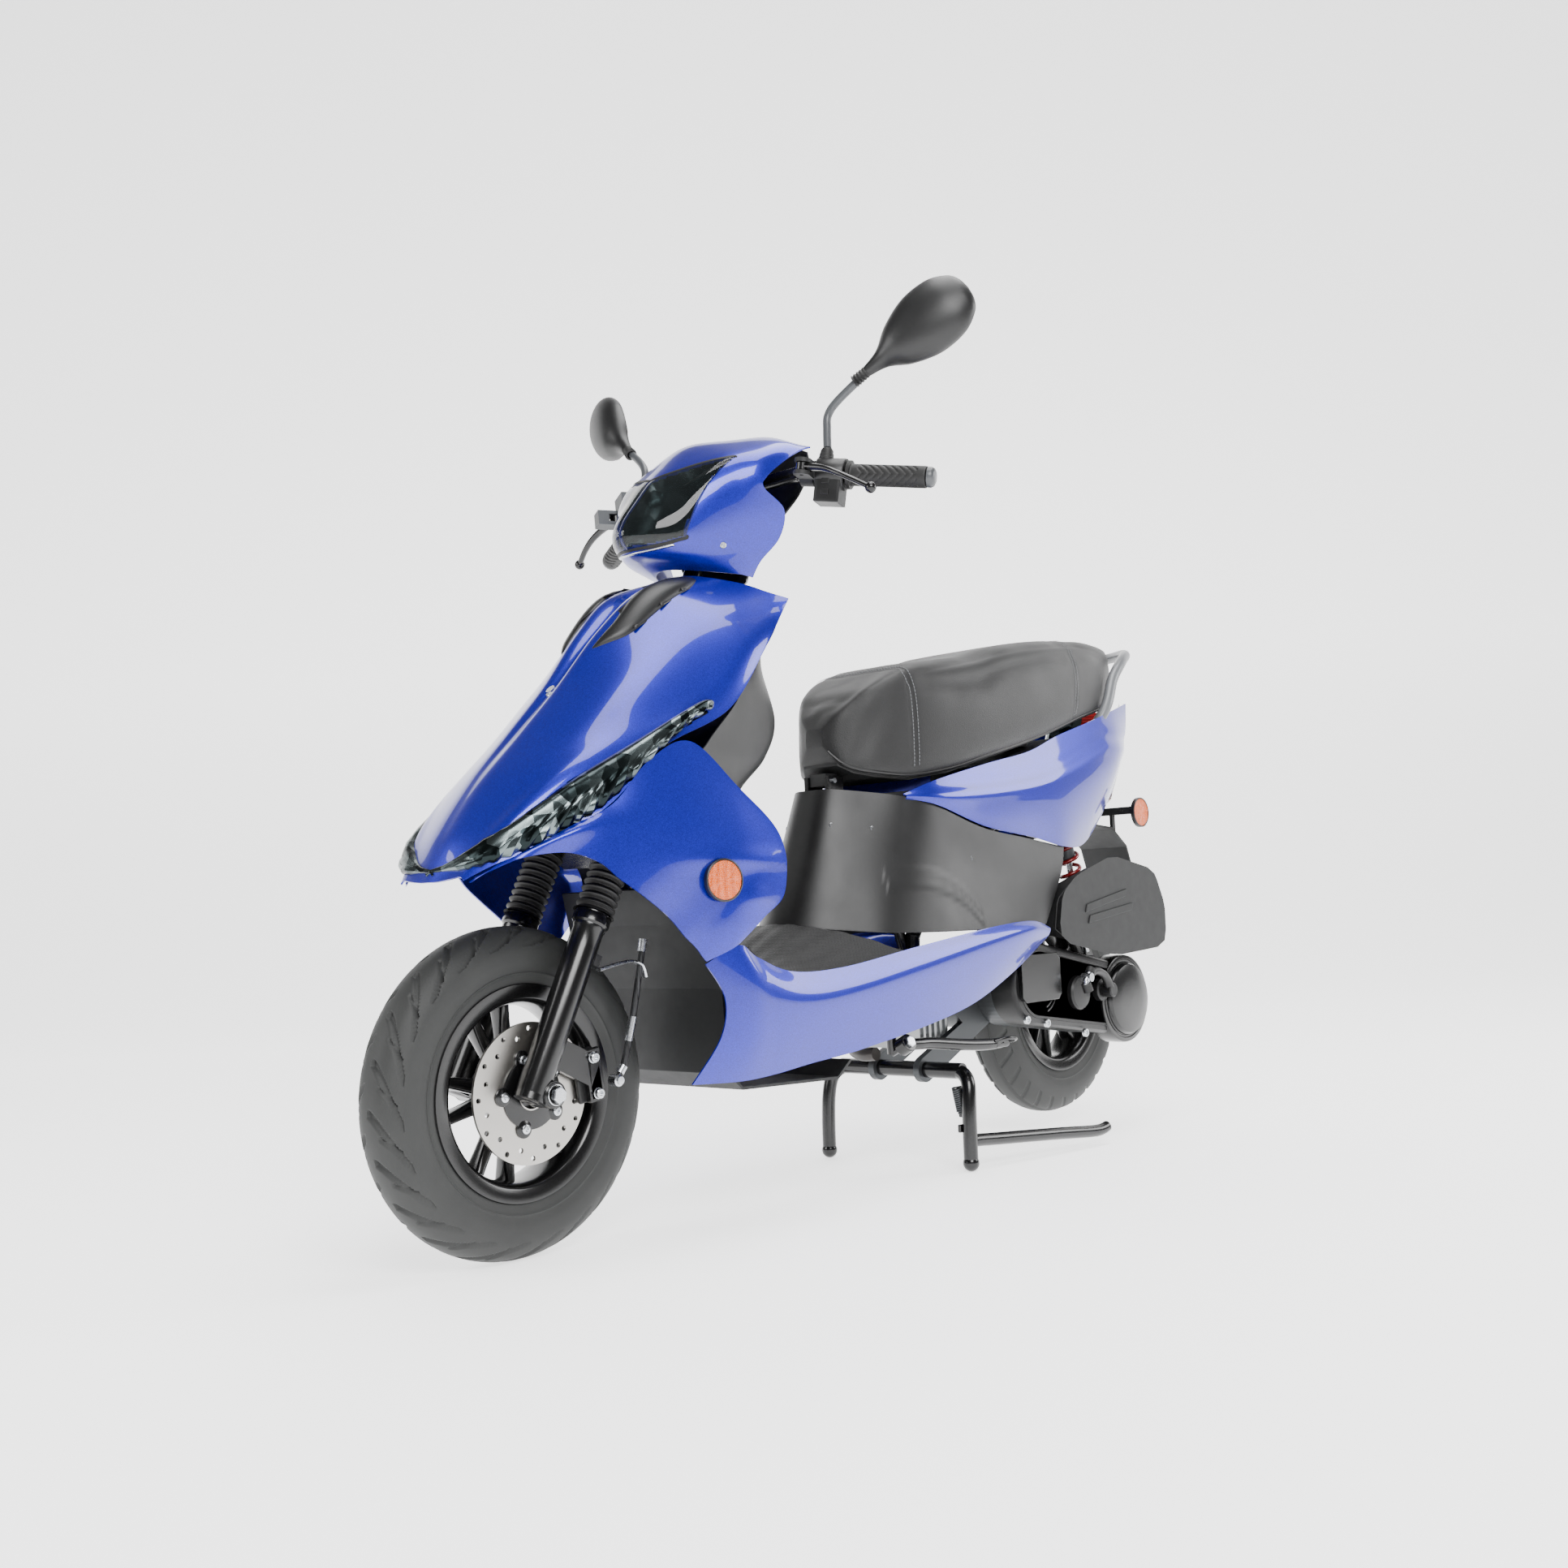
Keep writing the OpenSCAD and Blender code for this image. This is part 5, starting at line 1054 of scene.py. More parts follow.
mirror_shell = hub + (mirror_axis * (mirror_sizes[:, None,
                                                  0:1] - 1.4) + mirror_side * (np.cos(around)[None, :,
                                                            None] * mirror_sizes[:, None, 1:2])
                      - mirror_back * shell_depth[..., None]) / 1000
bellows_rows = [(6.4, -26)] + [(r_, z_) for k in range(5) for r_,
                               z_ in ((10.2 - 0.3 * k, -24 + 5 * k), (7.8, -21.5 + 5 * k))] + [(8, 2)]
bellows_rows = [(a / 1000, b / 1000) for a, b in bellows_rows]
glass_share = np.linspace(-0.94, 0.94, 15)
glass_rows = mirror_sizes[14:-12]
mirror_plate = hub + (mirror_axis * (glass_rows[:, None,
                                                0:1] - 1.4) + mirror_side * (glass_share[None, :,
                                                            None] * (glass_rows[:, None, 1:2] - 1.5))
                      + mirror_back * 8.6) / 1000
mirror_glass = finish("mirror_glass", "#dfe3e6", 1.0, 0.015)[0]
for side, turned_over in (("left", lambda p: p), ("right", other_side)):
    make("mirror_shell_" + side, turned_over(quads(mirror_shell, ring=True)), black, "mirror_head_" + side,
         "mirror_" + side, crease=50)
    make("mirror_bellows_" + side, turned_over(turned(bellows_rows, hub, mirror_axis, 32)), rubber,
         "mirror_head_" + side)
    make("mirror_plate_" + side, turned_over(quads(mirror_plate)), mirror_glass, "mirror_head_" + side)

# ---------- Front fork, brake and hose ----------
# Chromed tubes slide in gloss-painted legs, closed by rubber bellows. The left leg carries a cast
# caliper on two zinc bolts, fed by a braided hose in a pressed bracket.
steer_foot = guides([[691.5, 0, 215]])[0]
steer_turn = turn_y(-27)


def on_fork(parts):
    """Parts drawn along the fork legs (+Z up the steering axis, millimetres) put on the scooter."""
    parts = parts if isinstance(parts, list) else [parts]
    return carried([(p / 1000, f) for p, f in parts], steer_turn, steer_foot)


LEG_X, LEG_Y, SLIDER_TOP, YOKE_LOW = 27, 75, 238, 332
leg_profile = [(1e-3, -21), (14, -21), (20, -17), (21.2, -10), (21.2, 190), (21.2, 214), (22.6, 217),
               (22.6, 221),
               (25.2, 224), (25.4, 236), (23.5, 238.6), (15.5, 238.6)]
legs = [turned(leg_profile, [LEG_X, side * LEG_Y, 0], [0, 0, 1], 56) for side in (1, -1)]
make("fork_legs", on_fork(legs), enamel, "fork")
feet = [turned([(1e-3, -19), (15, -19), (17.4, -16), (17.4, 21), (15, 23), (1e-3, 23)],
               [7.6, side * LEG_Y, -3.9], [0, side, 0], 40) for side in (1, -1)]
make("fork_feet", on_fork(feet), enamel, "fork")
folds = 9
height = np.linspace(SLIDER_TOP + 0.6, YOKE_LOW - 0.6, folds * 12 + 1)
bellows_r = 24.2 + 2.6 * np.cos((height - height[0]) / (height[-1] - height[0]) * folds * 2 * math.pi) + 1.2 * (height < SLIDER_TOP + 10)
boots = [turned(np.stack([bellows_r, height], axis=1), [LEG_X, side * LEG_Y, 0], [0, 0, 1],
                48) for side in (1, -1)]
gaiter = make("fork_bellows", on_fork(boots), rubber, "steering", "fork_gaiters")
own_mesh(gaiter)
caliper_turn = steer_turn @ turn_y(-145)
caliper_at = steer_foot + steer_turn @ (np.array([7.6, 0,
                                                  -3.9]) / 1000) + caliper_turn @ np.array([0.068, 0, 0])


def on_caliper(parts):
    """Parts drawn at the caliper (+X away from the axle, +Y to the left, millimetres) put on the scooter."""
    parts = parts if isinstance(parts, list) else [parts]
    return carried([(p / 1000, f) for p, f in parts], caliper_turn, caliper_at)


def cast_black():
    """Sand-cast aluminium under black paint: a coarse skin 1.2 mm across."""
    made, tree, core = finish("painted_casting", "#131314", 0.2, 0.4)
    place = add_node(tree, "TexCoord")
    skin_noise = add_node(tree, "TexNoise", {"Scale": 1 / 0.0012, "Detail": 3.0},
                          {"Vector": place.outputs["Object"]})
    relief(tree, core, skin_noise.outputs["Fac"], 0.0004, 0.5)
    return made


casting = cast_black()
make("caliper_halves", on_caliper([boxed((2, 50.2, -34), (48, 57.5, 34)),
                                   boxed((2, 37.2, -34), (48, 42.8, 34)),
                                   boxed((28.4, 42, -30), (49, 51, 30))]), casting, "fork",
     "brake_caliper", bevel=0.0028, outward=True)
make("caliper_lug", on_caliper(boxed((14, 58.2, -33), (38, 66, 33))), enamel, "fork",
     bevel=0.003,
     outward=True)
calipers_bolts = [turned([(7.5, 0), (7.5, 1.2), (6.6, 1.6), (6.6, 6.4), (5.4, 7.4), (3.4, 7.4), (3.2, 4),
                          (1e-3, 4)],
                         [26, 66.2, z], [0, 1, 0], 24) for z in (-24, 24)]
make("caliper_bolts", on_caliper(calipers_bolts), zinc, "fork")
hose_points = guides([[526, 81, 403], [532, 80, 370], [545, 76, 300], [562, 72, 236], [575, 70, 218]])


def braided_hose():
    """Steel braid under a clear sleeve: strands 2 mm wide cross at an angle."""
    made, tree, core = finish("braided_hose", "#2a2b2c", 0.3, 0.35)
    place = add_node(tree, "TexCoord")
    strands = add_node(tree, "TexBrick", {"Scale": 180.0, "Color1": linear("#3a3b3d"),
                                          "Color2": linear("#1b1b1c"),
                                          "Mortar": linear("#070707")}, {"Vector": place.outputs["Object"]})
    tree.links.new(strands.outputs["Color"], core.inputs["Base Color"])
    return made


make("brake_hose", tube(hose_points, 0.0046, 16, 14), braided_hose(), "fork", "brake_line")
sleeves = [tube(hose_points[k:k + 2] * 0.5 + hose_points[k:k + 1] * 0.5, 0.0058, 16, 4) for k in (0, 2, 3)]
make("hose_sleeves", sleeves, zinc, "fork")
bracket_path = guides([[608, 81.5, 366], [575, 81.5, 372], [548, 81.5, 374], [531, 80.5, 368],
                       [524, 79.5, 352]])
make("hose_bracket", tube(bracket_path, 0.0055, 12, 8, aspect=0.45), zinc, "fork")
banjo = turned([(1e-3, -8), (7, -8), (8, -7), (8, 7), (5.5, 8), (5.5, 11), (1e-3, 11)], [0, 0, 0], [0, 1, 0],
               24)
make("hose_banjo", carried([(banjo[0] / 1000, banjo[1])], np.eye(3), hose_points[-1]), zinc, "fork")
axle_at = steer_foot + steer_turn @ (np.array([7.6, 0, -3.9]) / 1000)
hex_head = [turned([(12.5, 0), (13.5, 0.6), (13.5, 2.0), (12.5, 2.4)], [0, 97.5, 0], [0, 1, 0], 40),
            turned([(10.4, 2.4), (10.9, 3.2), (10.9, 9), (9.6, 10.4), (1e-3, 10.4)], [0, 97.5, 0], [0, 1, 0],
                   6)]
hex_head = [(p / 1000, f) for p, f in hex_head]
for side, turned_over in (("left", lambda p: p), ("right", other_side)):
    for k, part in enumerate(hex_head):
        make("axle_%s_%s" % (("washer", "nut")[k], side), carried([turned_over(part)], np.eye(3), axle_at),
             zinc,
             "fork", "front_axle" if (side == "left" and k == 0) else (), bevel=0.0004,
             crease=25)
make("front_axle_bar", carried([turned([(0.006, -0.108), (0.006, 0.108)], [0, 0, 0], [0, 1, 0], 24)],
                               np.eye(3), axle_at),
     zinc, "fork")


# ---------- Wheels ----------
# Wide 3.50-10 scooter tyres: the front has swept grooves, the rear has blocks. They sit on cast
# alloy rims in gloss black with five pairs of spokes.
def tyre_rubber():
    """Carbon-black tyre rubber with a brown bloom in its cloudy parts."""
    made, tree, core = finish("tyre_rubber", "#232424", 0.0, 0.6)
    place = add_node(tree, "TexCoord")
    cloud = add_node(tree, "TexNoise", {"Scale": 1 / 0.05, "Detail": 5.0},
                     {"Vector": place.outputs["Object"]})
    shade = add_node(tree, "ValToRGB", {}, {"Fac": cloud.outputs["Fac"]})
    shade.color_ramp.elements[0].color = linear("#1e1f1f")
    shade.color_ramp.elements[1].color = linear("#2b2c2b")
    tree.links.new(shade.outputs["Color"], core.inputs["Base Color"])
    grain = add_node(tree, "TexNoise", {"Scale": 1 / 0.0012}, {"Vector": place.outputs["Object"]})
    relief(tree, core, grain.outputs["Fac"], 0.0003, 0.4)
    return made


tyre_black = tyre_rubber()
BEAD_R, TYRE_R = 127, 215
section = np.array([[BEAD_R, -29.6], [134, -31], [140, -35.6], [150, -39], [154, -40.9], [156, -39.9],
                    [168, -42.3], [181, -42],
                    [190, -39.5], [199, -34], [206.5, -27], [211.5, -18.5], [214.2, -9.5], [TYRE_R, 0]])
section = np.concatenate([section, section[-2::-1] * [1, -1]])
profile = smooth(section, 5)
TURNS = 1260
theta = np.linspace(0, 2 * math.pi, TURNS, endpoint=False)
reach = np.concatenate([[0], np.cumsum(np.linalg.norm(np.diff(profile, axis=0), axis=1))])
tread = np.clip((reach - reach[-1] / 2) / 46.0, -1.6, 1.6)


def tyre(pattern):
    """A tyre whose tread is cut to depth pattern(angle, place across the tread from -1 to 1), in mm."""
    cut_depth = pattern(theta[:, None], tread[None, :])
    radius = profile[None, :, 0] - cut_depth
    return np.stack([radius * np.sin(theta)[:, None], np.broadcast_to(profile[None, :, 1], radius.shape),
                     radius * np.cos(theta)[:, None]], axis=-1) / 1000


def swept_grooves(angle, side):
    """Curved grooves: phase = 24 angle / 2 pi - 1.1 |side|^1.7, cut where its fraction is within a width."""
    lean = 0.5 * (side > 0)
    phase = 22 * angle / (2 * math.pi) - 1.15 * np.abs(side) ** 1.8 + lean
    near = np.abs(phase - np.round(phase))
    width = 0.055 + 0.03 * np.abs(side)
    body = (np.abs(side) > 0.1) * (np.abs(side) < 1.12)
    hook = 22 * angle / (2 * math.pi) + lean + 0.48 - 0.75 * (np.abs(side) - 0.45)
    hook_near = np.abs(hook - np.round(hook))
    short = (np.abs(side) > 0.42) * (np.abs(side) < 0.98)
    return 4.6 * np.clip(1.8 - near / width, 0, 1) * body + 3.6 * np.clip(1.5 - hook_near / 0.04, 0,
                                                            1) * short


def block_tread(angle, side):
    """Two rings of grooves and slanted cross cuts between them."""
    rings = np.clip(1.5 - np.abs(np.abs(side) - 0.34) / 0.05, 0, 1)
    phase = 30 * angle / (2 * math.pi) + 0.7 * side + 0.5 * (side > 0)
    near = np.abs(phase - np.round(phase))
    cuts = np.clip(1.6 - near / 0.09, 0, 1) * (np.abs(side) > 0.3) * (np.abs(side) < 1.1)
    return 3.0 * np.maximum(rings, cuts)


front_hub = guides([[700, 0, 215]])[0]
rear_hub = guides([[-555, 0, 246]])[0]
rim_profile = [(118, -34), (123, -37.5), (139.5, -38), (140.4, -36.5), (139.5, -34.6), (131, -33),
               (127.6, -30), (126.4, -18),
               (119, -12), (119, 12), (126.4, 18), (127.6, 30), (131, 33), (139.5, 34.6), (140.4, 36.5),
               (139.5, 38),
               (123, 37.5), (118, 34), (114.5, 24), (112.4, 10), (112.4, -10), (114.5, -24), (118, -34)]
rim_profile = np.array([(r_ / 1000, y_ / 1000) for r_, y_ in rim_profile])


def spoke(angle):
    """One tapered spoke: an oval 22 mm wide at the hub and 14 mm at the rim, bowed out at the hub."""
    share = np.linspace(0, 1, 9)
    a = np.linspace(0, 2 * math.pi, 16, endpoint=False)
    out = 26 + share * 91
    half_width = 11.5 - 4.6 * share
    half_depth = 13 + 4 * share**2 - 3 * np.sin(share * math.pi)
    g = np.stack([np.broadcast_to(out[:, None], (9, 16)),
                  half_depth[:, None] * np.sign(np.cos(a)) * np.abs(np.cos(a))**0.6,
                  half_width[:, None] * np.sign(np.sin(a)) * np.abs(np.sin(a))**0.6], axis=-1) / 1000
    return carried([quads(g, ring=True)], turn_y(angle), np.zeros(3))[0]


def wheel(hub_half):
    """Rim, hub and spokes about the origin."""
    hub_profile = [(8, -hub_half), (30, -hub_half), (34, -hub_half + 3), (34, hub_half - 3), (30, hub_half),
                   (8, hub_half)]
    parts = [turned(rim_profile, [0, 0, 0], [0, 1, 0], 160)]
    parts.append(turned(np.array(hub_profile) / 1000, [0, 0, 0], [0, 1, 0], 56))
    parts += [spoke(k * 72 + lean) for k in range(5) for lean in (-13, 13)]
    return parts


for tag, hub_at, pattern, half_hub, body in (("front", front_hub, swept_grooves, 41.5, "front_wheel"),
                                                   ("rear", rear_hub, block_tread, 37.5, "rear_wheel")):
    grid = tyre(pattern)
    closed = np.concatenate([grid, grid[:1]])
    make(tag + "_tyre_tread", carried([quads(closed[:, ::-1])], np.eye(3), hub_at), tyre_black, body,
         tag + "_tyre", crease=50)
    make(tag + "_alloy_rim", carried(wheel(half_hub), np.eye(3), hub_at), enamel, body,
         tag + "_rim",
         outward=False)
carrier = [turned(np.array([(22, 50.6), (44, 50.6), (46, 49.6), (46, 48.3)]) / 1000, [0, 0, 0], [0, 1, 0],
                  64)]
lobes = [carried([turned(np.array([(1e-3, 51.4), (10, 51.4), (12, 50), (12, 48.4)]) / 1000, [0.046, 0, 0],
                         [0, 1, 0], 28)],
                 turn_y(72 * k), np.zeros(3))[0] for k in range(5)]
make("disc_carrier", carried(carrier + lobes, np.eye(3), front_hub), enamel, "front_wheel")
disc_bolts = [carried([turned(np.array([(6.2, 51.4), (6.2, 54.6), (4.8, 55.6), (3, 55.6), (2.8, 53),
                                        (1e-3, 53)]) / 1000,
                              [0.046, 0, 0], [0, 1, 0], 18)], turn_y(72 * k),
                              np.zeros(3))[0] for k in range(5)]
make("disc_bolts", carried(disc_bolts, np.eye(3), front_hub), zinc, "front_wheel")


def ground_steel():
    """Stainless disc ground in rings."""
    made, tree, core = finish("ground_steel", "#b9b6b1", 1.0, 0.32)
    place = add_node(tree, "TexCoord")
    rings = add_node(tree, "TexNoise", {"Scale": 1 / 0.003, "Detail": 6.0},
                     {"Vector": place.outputs["Object"]})
    dull = add_node(tree, "MapRange", {"To Min": 0.25, "To Max": 0.42}, {"Value": rings.outputs["Fac"]})
    tree.links.new(dull.outputs["Result"], core.inputs["Roughness"])
    return made


frame["nodes"]["brake_disc"].data.materials.clear()
frame["nodes"]["brake_disc"].data.materials.append(ground_steel())

# ---------- Engine, belt case, airbox and muffler ----------
# A horizontal single-cylinder engine swings with the wheel. Its belt runs under a black cast cover
# with a domed end cap. The airbox above it is matt plastic.
def outlined(circles, steps=96):
    """The outline round two circles (x, z, radius): at each angle, the farther support point of the two."""
    a = np.linspace(0, 2 * math.pi, steps, endpoint=False)
    way = np.stack([np.cos(a), np.sin(a)], axis=1)
    support = np.array([[cx, cz] @ way.T + cr for cx, cz, cr in circles])
    pick = np.argmax(support, axis=0)
    c = np.array(circles)[pick]
    return c[:, :2] + way * c[:, 2:]


def pressed(outline, levels):
    """A plate with shaped edges: its (x, z) outline drawn in by inset mm at each height y, then capped."""
    around_ = np.roll(outline, -1, axis=0) - np.roll(outline, 1, axis=0)
    inward = np.stack([-around_[:, 1], around_[:, 0]], axis=1)
    inward /= np.maximum(np.linalg.norm(inward, axis=1, keepdims=True), 1e-9)
    rows = [np.stack([outline[:, 0] + inward[:, 0] * inset, np.full(len(outline), y),
                      outline[:, 1] + inward[:, 1] * inset],
                     axis=1) for y, inset in levels]
    points, faces = quads(np.array(rows)[:, ::-1], ring=True, caps=True)
    return points, faces


def guided(part):
    """A part drawn in guide millimetres, put in the frame's metres."""
    return guides(part[0]), part[1]


def matt_black():
    """Glass-filled nylon, matt, with a flow pattern 20 mm across."""
    made, tree, core = finish("matt_nylon", "#101112", 0.0, 0.55)
    place = add_node(tree, "TexCoord")
    flow = add_node(tree, "TexNoise", {"Scale": 1 / 0.02, "Detail": 6.0}, {"Vector": place.outputs["Object"]})
    dull = add_node(tree, "MapRange", {"To Min": 0.48, "To Max": 0.64}, {"Value": flow.outputs["Fac"]})
    grain = add_node(tree, "TexNoise", {"Scale": 1 / 0.0009}, {"Vector": place.outputs["Object"]})
    tree.links.new(dull.outputs["Result"], core.inputs["Roughness"])
    relief(tree, core, grain.outputs["Fac"], 0.0002, 0.4)
    return made


nylon = matt_black()
case = outlined([(-335, 282, 72), (-560, 243, 66)])
cover_plate = pressed(case, [(88.2, 0), (128, 0), (134, 1.2), (138, 4.5), (140, 10)])
make("belt_cover_plate", guided(cover_plate), casting, "engine", "belt_case_cover",
     outward=True, crease=30)
band = outlined([(-335, 282, 60), (-560, 243, 54)])
groove = pressed(band, [(139.6, 0), (141.6, 0.8), (141.8, 5), (140, 6)])
make("belt_cover_rib", guided(groove), casting, "engine", outward=True, crease=30)
arcs = []
for radius in (44, 52):
    a = np.radians(np.linspace(150, 250, 26))
    path = np.stack([-335 + radius * np.cos(a), np.full(26, 141.6), 282 + radius * np.sin(a)], axis=1)
    arcs.append(tube(guides(path), 0.0016, 8, 1))
make("belt_cover_arcs", arcs, casting, "engine")
box_outline = np.array([[-385, 262], [-379, 256], [-279, 256], [-273, 262], [-273, 322], [-279, 330],
                        [-379, 330], [-385, 322]], float)
make("oil_box", guided(pressed(box_outline[::-1], [(136, 0), (146, 0), (149, 1.4), (150, 5)])), enamel,
     "engine",
     bevel=0.003, outward=True)
cap_rows = [(80, 108), (80.4, 138), (79, 143.5), (76, 144.4), (72, 144.4), (70.6, 143), (67.6, 143),
            (66, 145),
            (65.4, 150), (62, 154.6), (52, 157.2), (34, 158.6), (16, 159.2), (1e-3, 159.4)]
cap = turned([(r_ / 1000, y_ / 1000) for r_, y_ in cap_rows], guides([[-608, 0, 236]])[0], [0, 1, 0], 96)
make("end_cap_dome", cap, enamel, "engine", crease=30)
boss = turned([(0.03, 0.139), (0.03, 0.148), (0.027, 0.1515), (0.012, 0.153), (1e-5, 0.153)],
              guides([[-450, 0, 258]])[0], [0, 1, 0], 48)
kick_boss = turned([(0.02, 0.139), (0.02, 0.15), (0.017, 0.1525), (0.008, 0.1525)],
                   guides([[-522, 0, 258]])[0], [0, 1, 0], 40)
make("cover_bosses", [boss, kick_boss], casting, "engine", crease=30)
spots = [(-300, 348), (-356, 352), (-290, 224), (-350, 213), (-470, 186), (-430, 330), (-500, 318)]
case_bolts = [turned([(0.0075, 0), (0.0075, 0.0045), (0.0062, 0.0058), (0.0038, 0.0058), (0.0036, 0.003),
                      (1e-5, 0.003)],
                     guides([[x, 139, z]])[0], [0, 1, 0], 18) for x, z in spots[2:5]]
make("case_bolts", case_bolts, zinc, "engine")
kick_path = guides([[-522, 165, 258], [-508, 168, 277], [-490, 171, 289], [-462, 173, 295], [-434, 174, 286]])
kick_parts = [tube(kick_path, [0.009, 0.0078, 0.007, 0.007, 0.0072], 20, 8)]
kick_parts.append(turned([(1e-5, -0.015), (0.0125, -0.015), (0.013, -0.012), (0.013, 0.005), (0.011, 0.007),
                          (1e-5, 0.007)],
                         guides([[-522, 167, 258]])[0], [0, 1, 0], 32))
make("kick_lever_arm", kick_parts, casting, "kick", "kick_lever")
pedal = guides([[-446, 176, 300], [-434, 176, 286], [-424, 177, 276], [-430, 178, 262]])
make("kick_pedal", [tube(pedal, 0.0062, 16, 6), turned([(1e-5, -0.009), (0.0075, -0.009), (0.0075, 0.01),
                                                        (1e-5, 0.01)],
                    guides([[-434, 174, 286]])[0], [0, 1, 0], 24)], zinc, "kick")
make("kick_pedal_pads", [tube(pedal[[0, 1]] * [[0.5], [0.5]] + pedal[[0, 0]] * 0.5, 0.0088, 16, 4),
                         tube(pedal[[2, 3]], 0.0088, 16, 4)], rubber, "kick")
air_outline = np.array([[-394, 366], [-408, 424], [-448, 450], [-565, 482], [-700, 456], [-728, 400],
                        [-726, 342], [-560, 334]], float)
closed_air = np.concatenate([air_outline, air_outline[:1]])
dense_air = np.concatenate([np.linspace(a, b, 9)[1:-1] for a,
                            b in zip(closed_air[:-1], closed_air[1:])])[::-1]
air_levels = [(110, 0), (112, -0.6), (136, -0.6), (137, 0.8), (139, 0.8), (140, 0), (150, 2), (157, 8),
              (160, 17)]
make("airbox_shell", guided(pressed(dense_air, air_levels)), nylon, "engine", "airbox",
     outward=True,
     crease=28)
bars = []
for lower_, upper_ in (((-470, 380), (-620, 398)), ((-462, 400), (-600, 424))):
    (x0, z0), (x1, z1) = lower_, upper_
    quad_outline = np.array([[x0, z0], [x0 - 6, z0 + 12], [x1 - 6, z1 + 12], [x1, z1]], float)
    bars.append(guided(pressed(quad_outline[::-1], [(158, 0), (162.4, 1.5)])))
make("airbox_bars", bars, nylon, "engine", bevel=0.0015, outward=True)
airbox_screws = [bolt(guides([[x, 153, z]])[0], [0, 1, 0], 0.010, 0.004) for x,
                 z in ((-428, 372), (-700, 366), (-560, 466))]
make("airbox_screws", airbox_screws, zinc, "engine")
fins_alloy = finish("as_cast_alloy", "#a3a5a6", 1.0, 0.42)[0]
dark_case = finish("dark_cast_alloy", "#4b4d4f", 0.8, 0.45)[0]
muffler_axis = turn_y(-86) @ [0, 0, 1]
can_rows = [(1e-5, -0.002), (0.030, -0.002), (0.042, 0.004), (0.0478, 0.014), (0.0483, 0.03), (0.0483, 0.39),
            (0.046, 0.405),
            (0.036, 0.416), (0.018, 0.4195), (0.0178, 0.438), (0.0148, 0.438), (0.0148, 0.40), (1e-5, 0.40)]
make("muffler_can", turned(can_rows, guides([[-330, -122, 250]])[0], muffler_axis, 72),
     powder_coat("heat_black", "#101010", 0.5),
     "engine", "muffler")
shield_rows_m = [(0.0485, 0.10), (0.0515, 0.102), (0.0515, 0.33), (0.0485, 0.332)]
make("heat_shield", turned(shield_rows_m, guides([[-330, -122, 250]])[0], muffler_axis, 32,
                           start=math.pi * 0.9, sweep=math.pi * 0.9), zinc, "engine",
     wall=0.0008)
exhaust = guides([[-72, -14, 184], [-74, -44, 182], [-94, -80, 188], [-140, -95, 192], [-240, -108, 206],
                  [-336, -122, 250]])
make("exhaust_pipe", tube(exhaust, 0.0112, 20, 10), powder_coat("hot_pipe", "#2a2522", 0.55), "engine")

# ---------- Stands and shock absorber ----------
# Bent steel tubes in black enamel. The centre stand's pedal arm and feet are welded on, and two coil
# springs pull it up. The shock has a red-lacquered spring round a chromed rod.
stand_legs, stand_feet = [], []
for side in (1, -1):
    path = guides([[-118, 118 * side, 156], [-114, 134 * side, 150], [-108, 145 * side, 136],
                   [-102, 149 * side, 105],
                   [-99, 150 * side, 60], [-98, 150 * side, 14]])
    stand_legs.append(tube(path, 0.0118, 20, 8))
    ball_rows = [(13.4 * math.sin(a), -13.4 * math.cos(a)) for a in np.linspace(0.02, 3.12, 16)]
    stand_feet.append(turned([(a / 1000, b / 1000) for a, b in ball_rows],
                             guides([[-98, 150 * side, 13.5]])[0], [0, 0, 1], 28))
stand_legs.append(tube(guides([[-118, -128, 156], [-118, 128, 156]]), 0.0131, 28, 4))
arm = guides([[-100, 150, 48], [-122, 153, 47], [-160, 158, 44], [-300, 180, 34], [-400, 194, 26],
              [-432, 198, 30]])
stand_legs.append(tube(arm, [0.0102, 0.0102, 0.0102, 0.0102, 0.0102, 0.009], 20, 8, aspect=1.0))
make("centre_stand_tubes", stand_legs, enamel, "main_stand", "centre_stand")
make("centre_stand_feet", stand_feet, enamel, "main_stand")
lugs = [boxed((-0.128, 0.128, 0.084), (-0.100, 0.141, 0.100)),
        boxed((-0.118, 0.136, 0.062), (-0.085, 0.142, 0.075))]
make("centre_stand_lugs", [(p + TO_FRAME, f) for p, f in lugs], enamel, "main_stand",
     bevel=0.002, outward=True)


def coil(start, end, radius, wire, turns, steps=18):
    """A coil spring: a wire swept round the line between two points, turns times."""
    start, end = np.asarray(start, float), np.asarray(end, float)
    axis = (end - start) / np.linalg.norm(end - start)
    u = np.cross(axis, [0.2, 0.9, 0.3])
    u /= np.linalg.norm(u)
    v = np.cross(axis, u)
    share = np.linspace(0, 1, turns * steps + 1)
    a = share * turns * 2 * math.pi
    path = start + (end - start) * share[:, None] + radius * (np.cos(a)[:, None] * u + np.sin(a)[:, None] * v)
    return tube(path, wire, 10, 1)


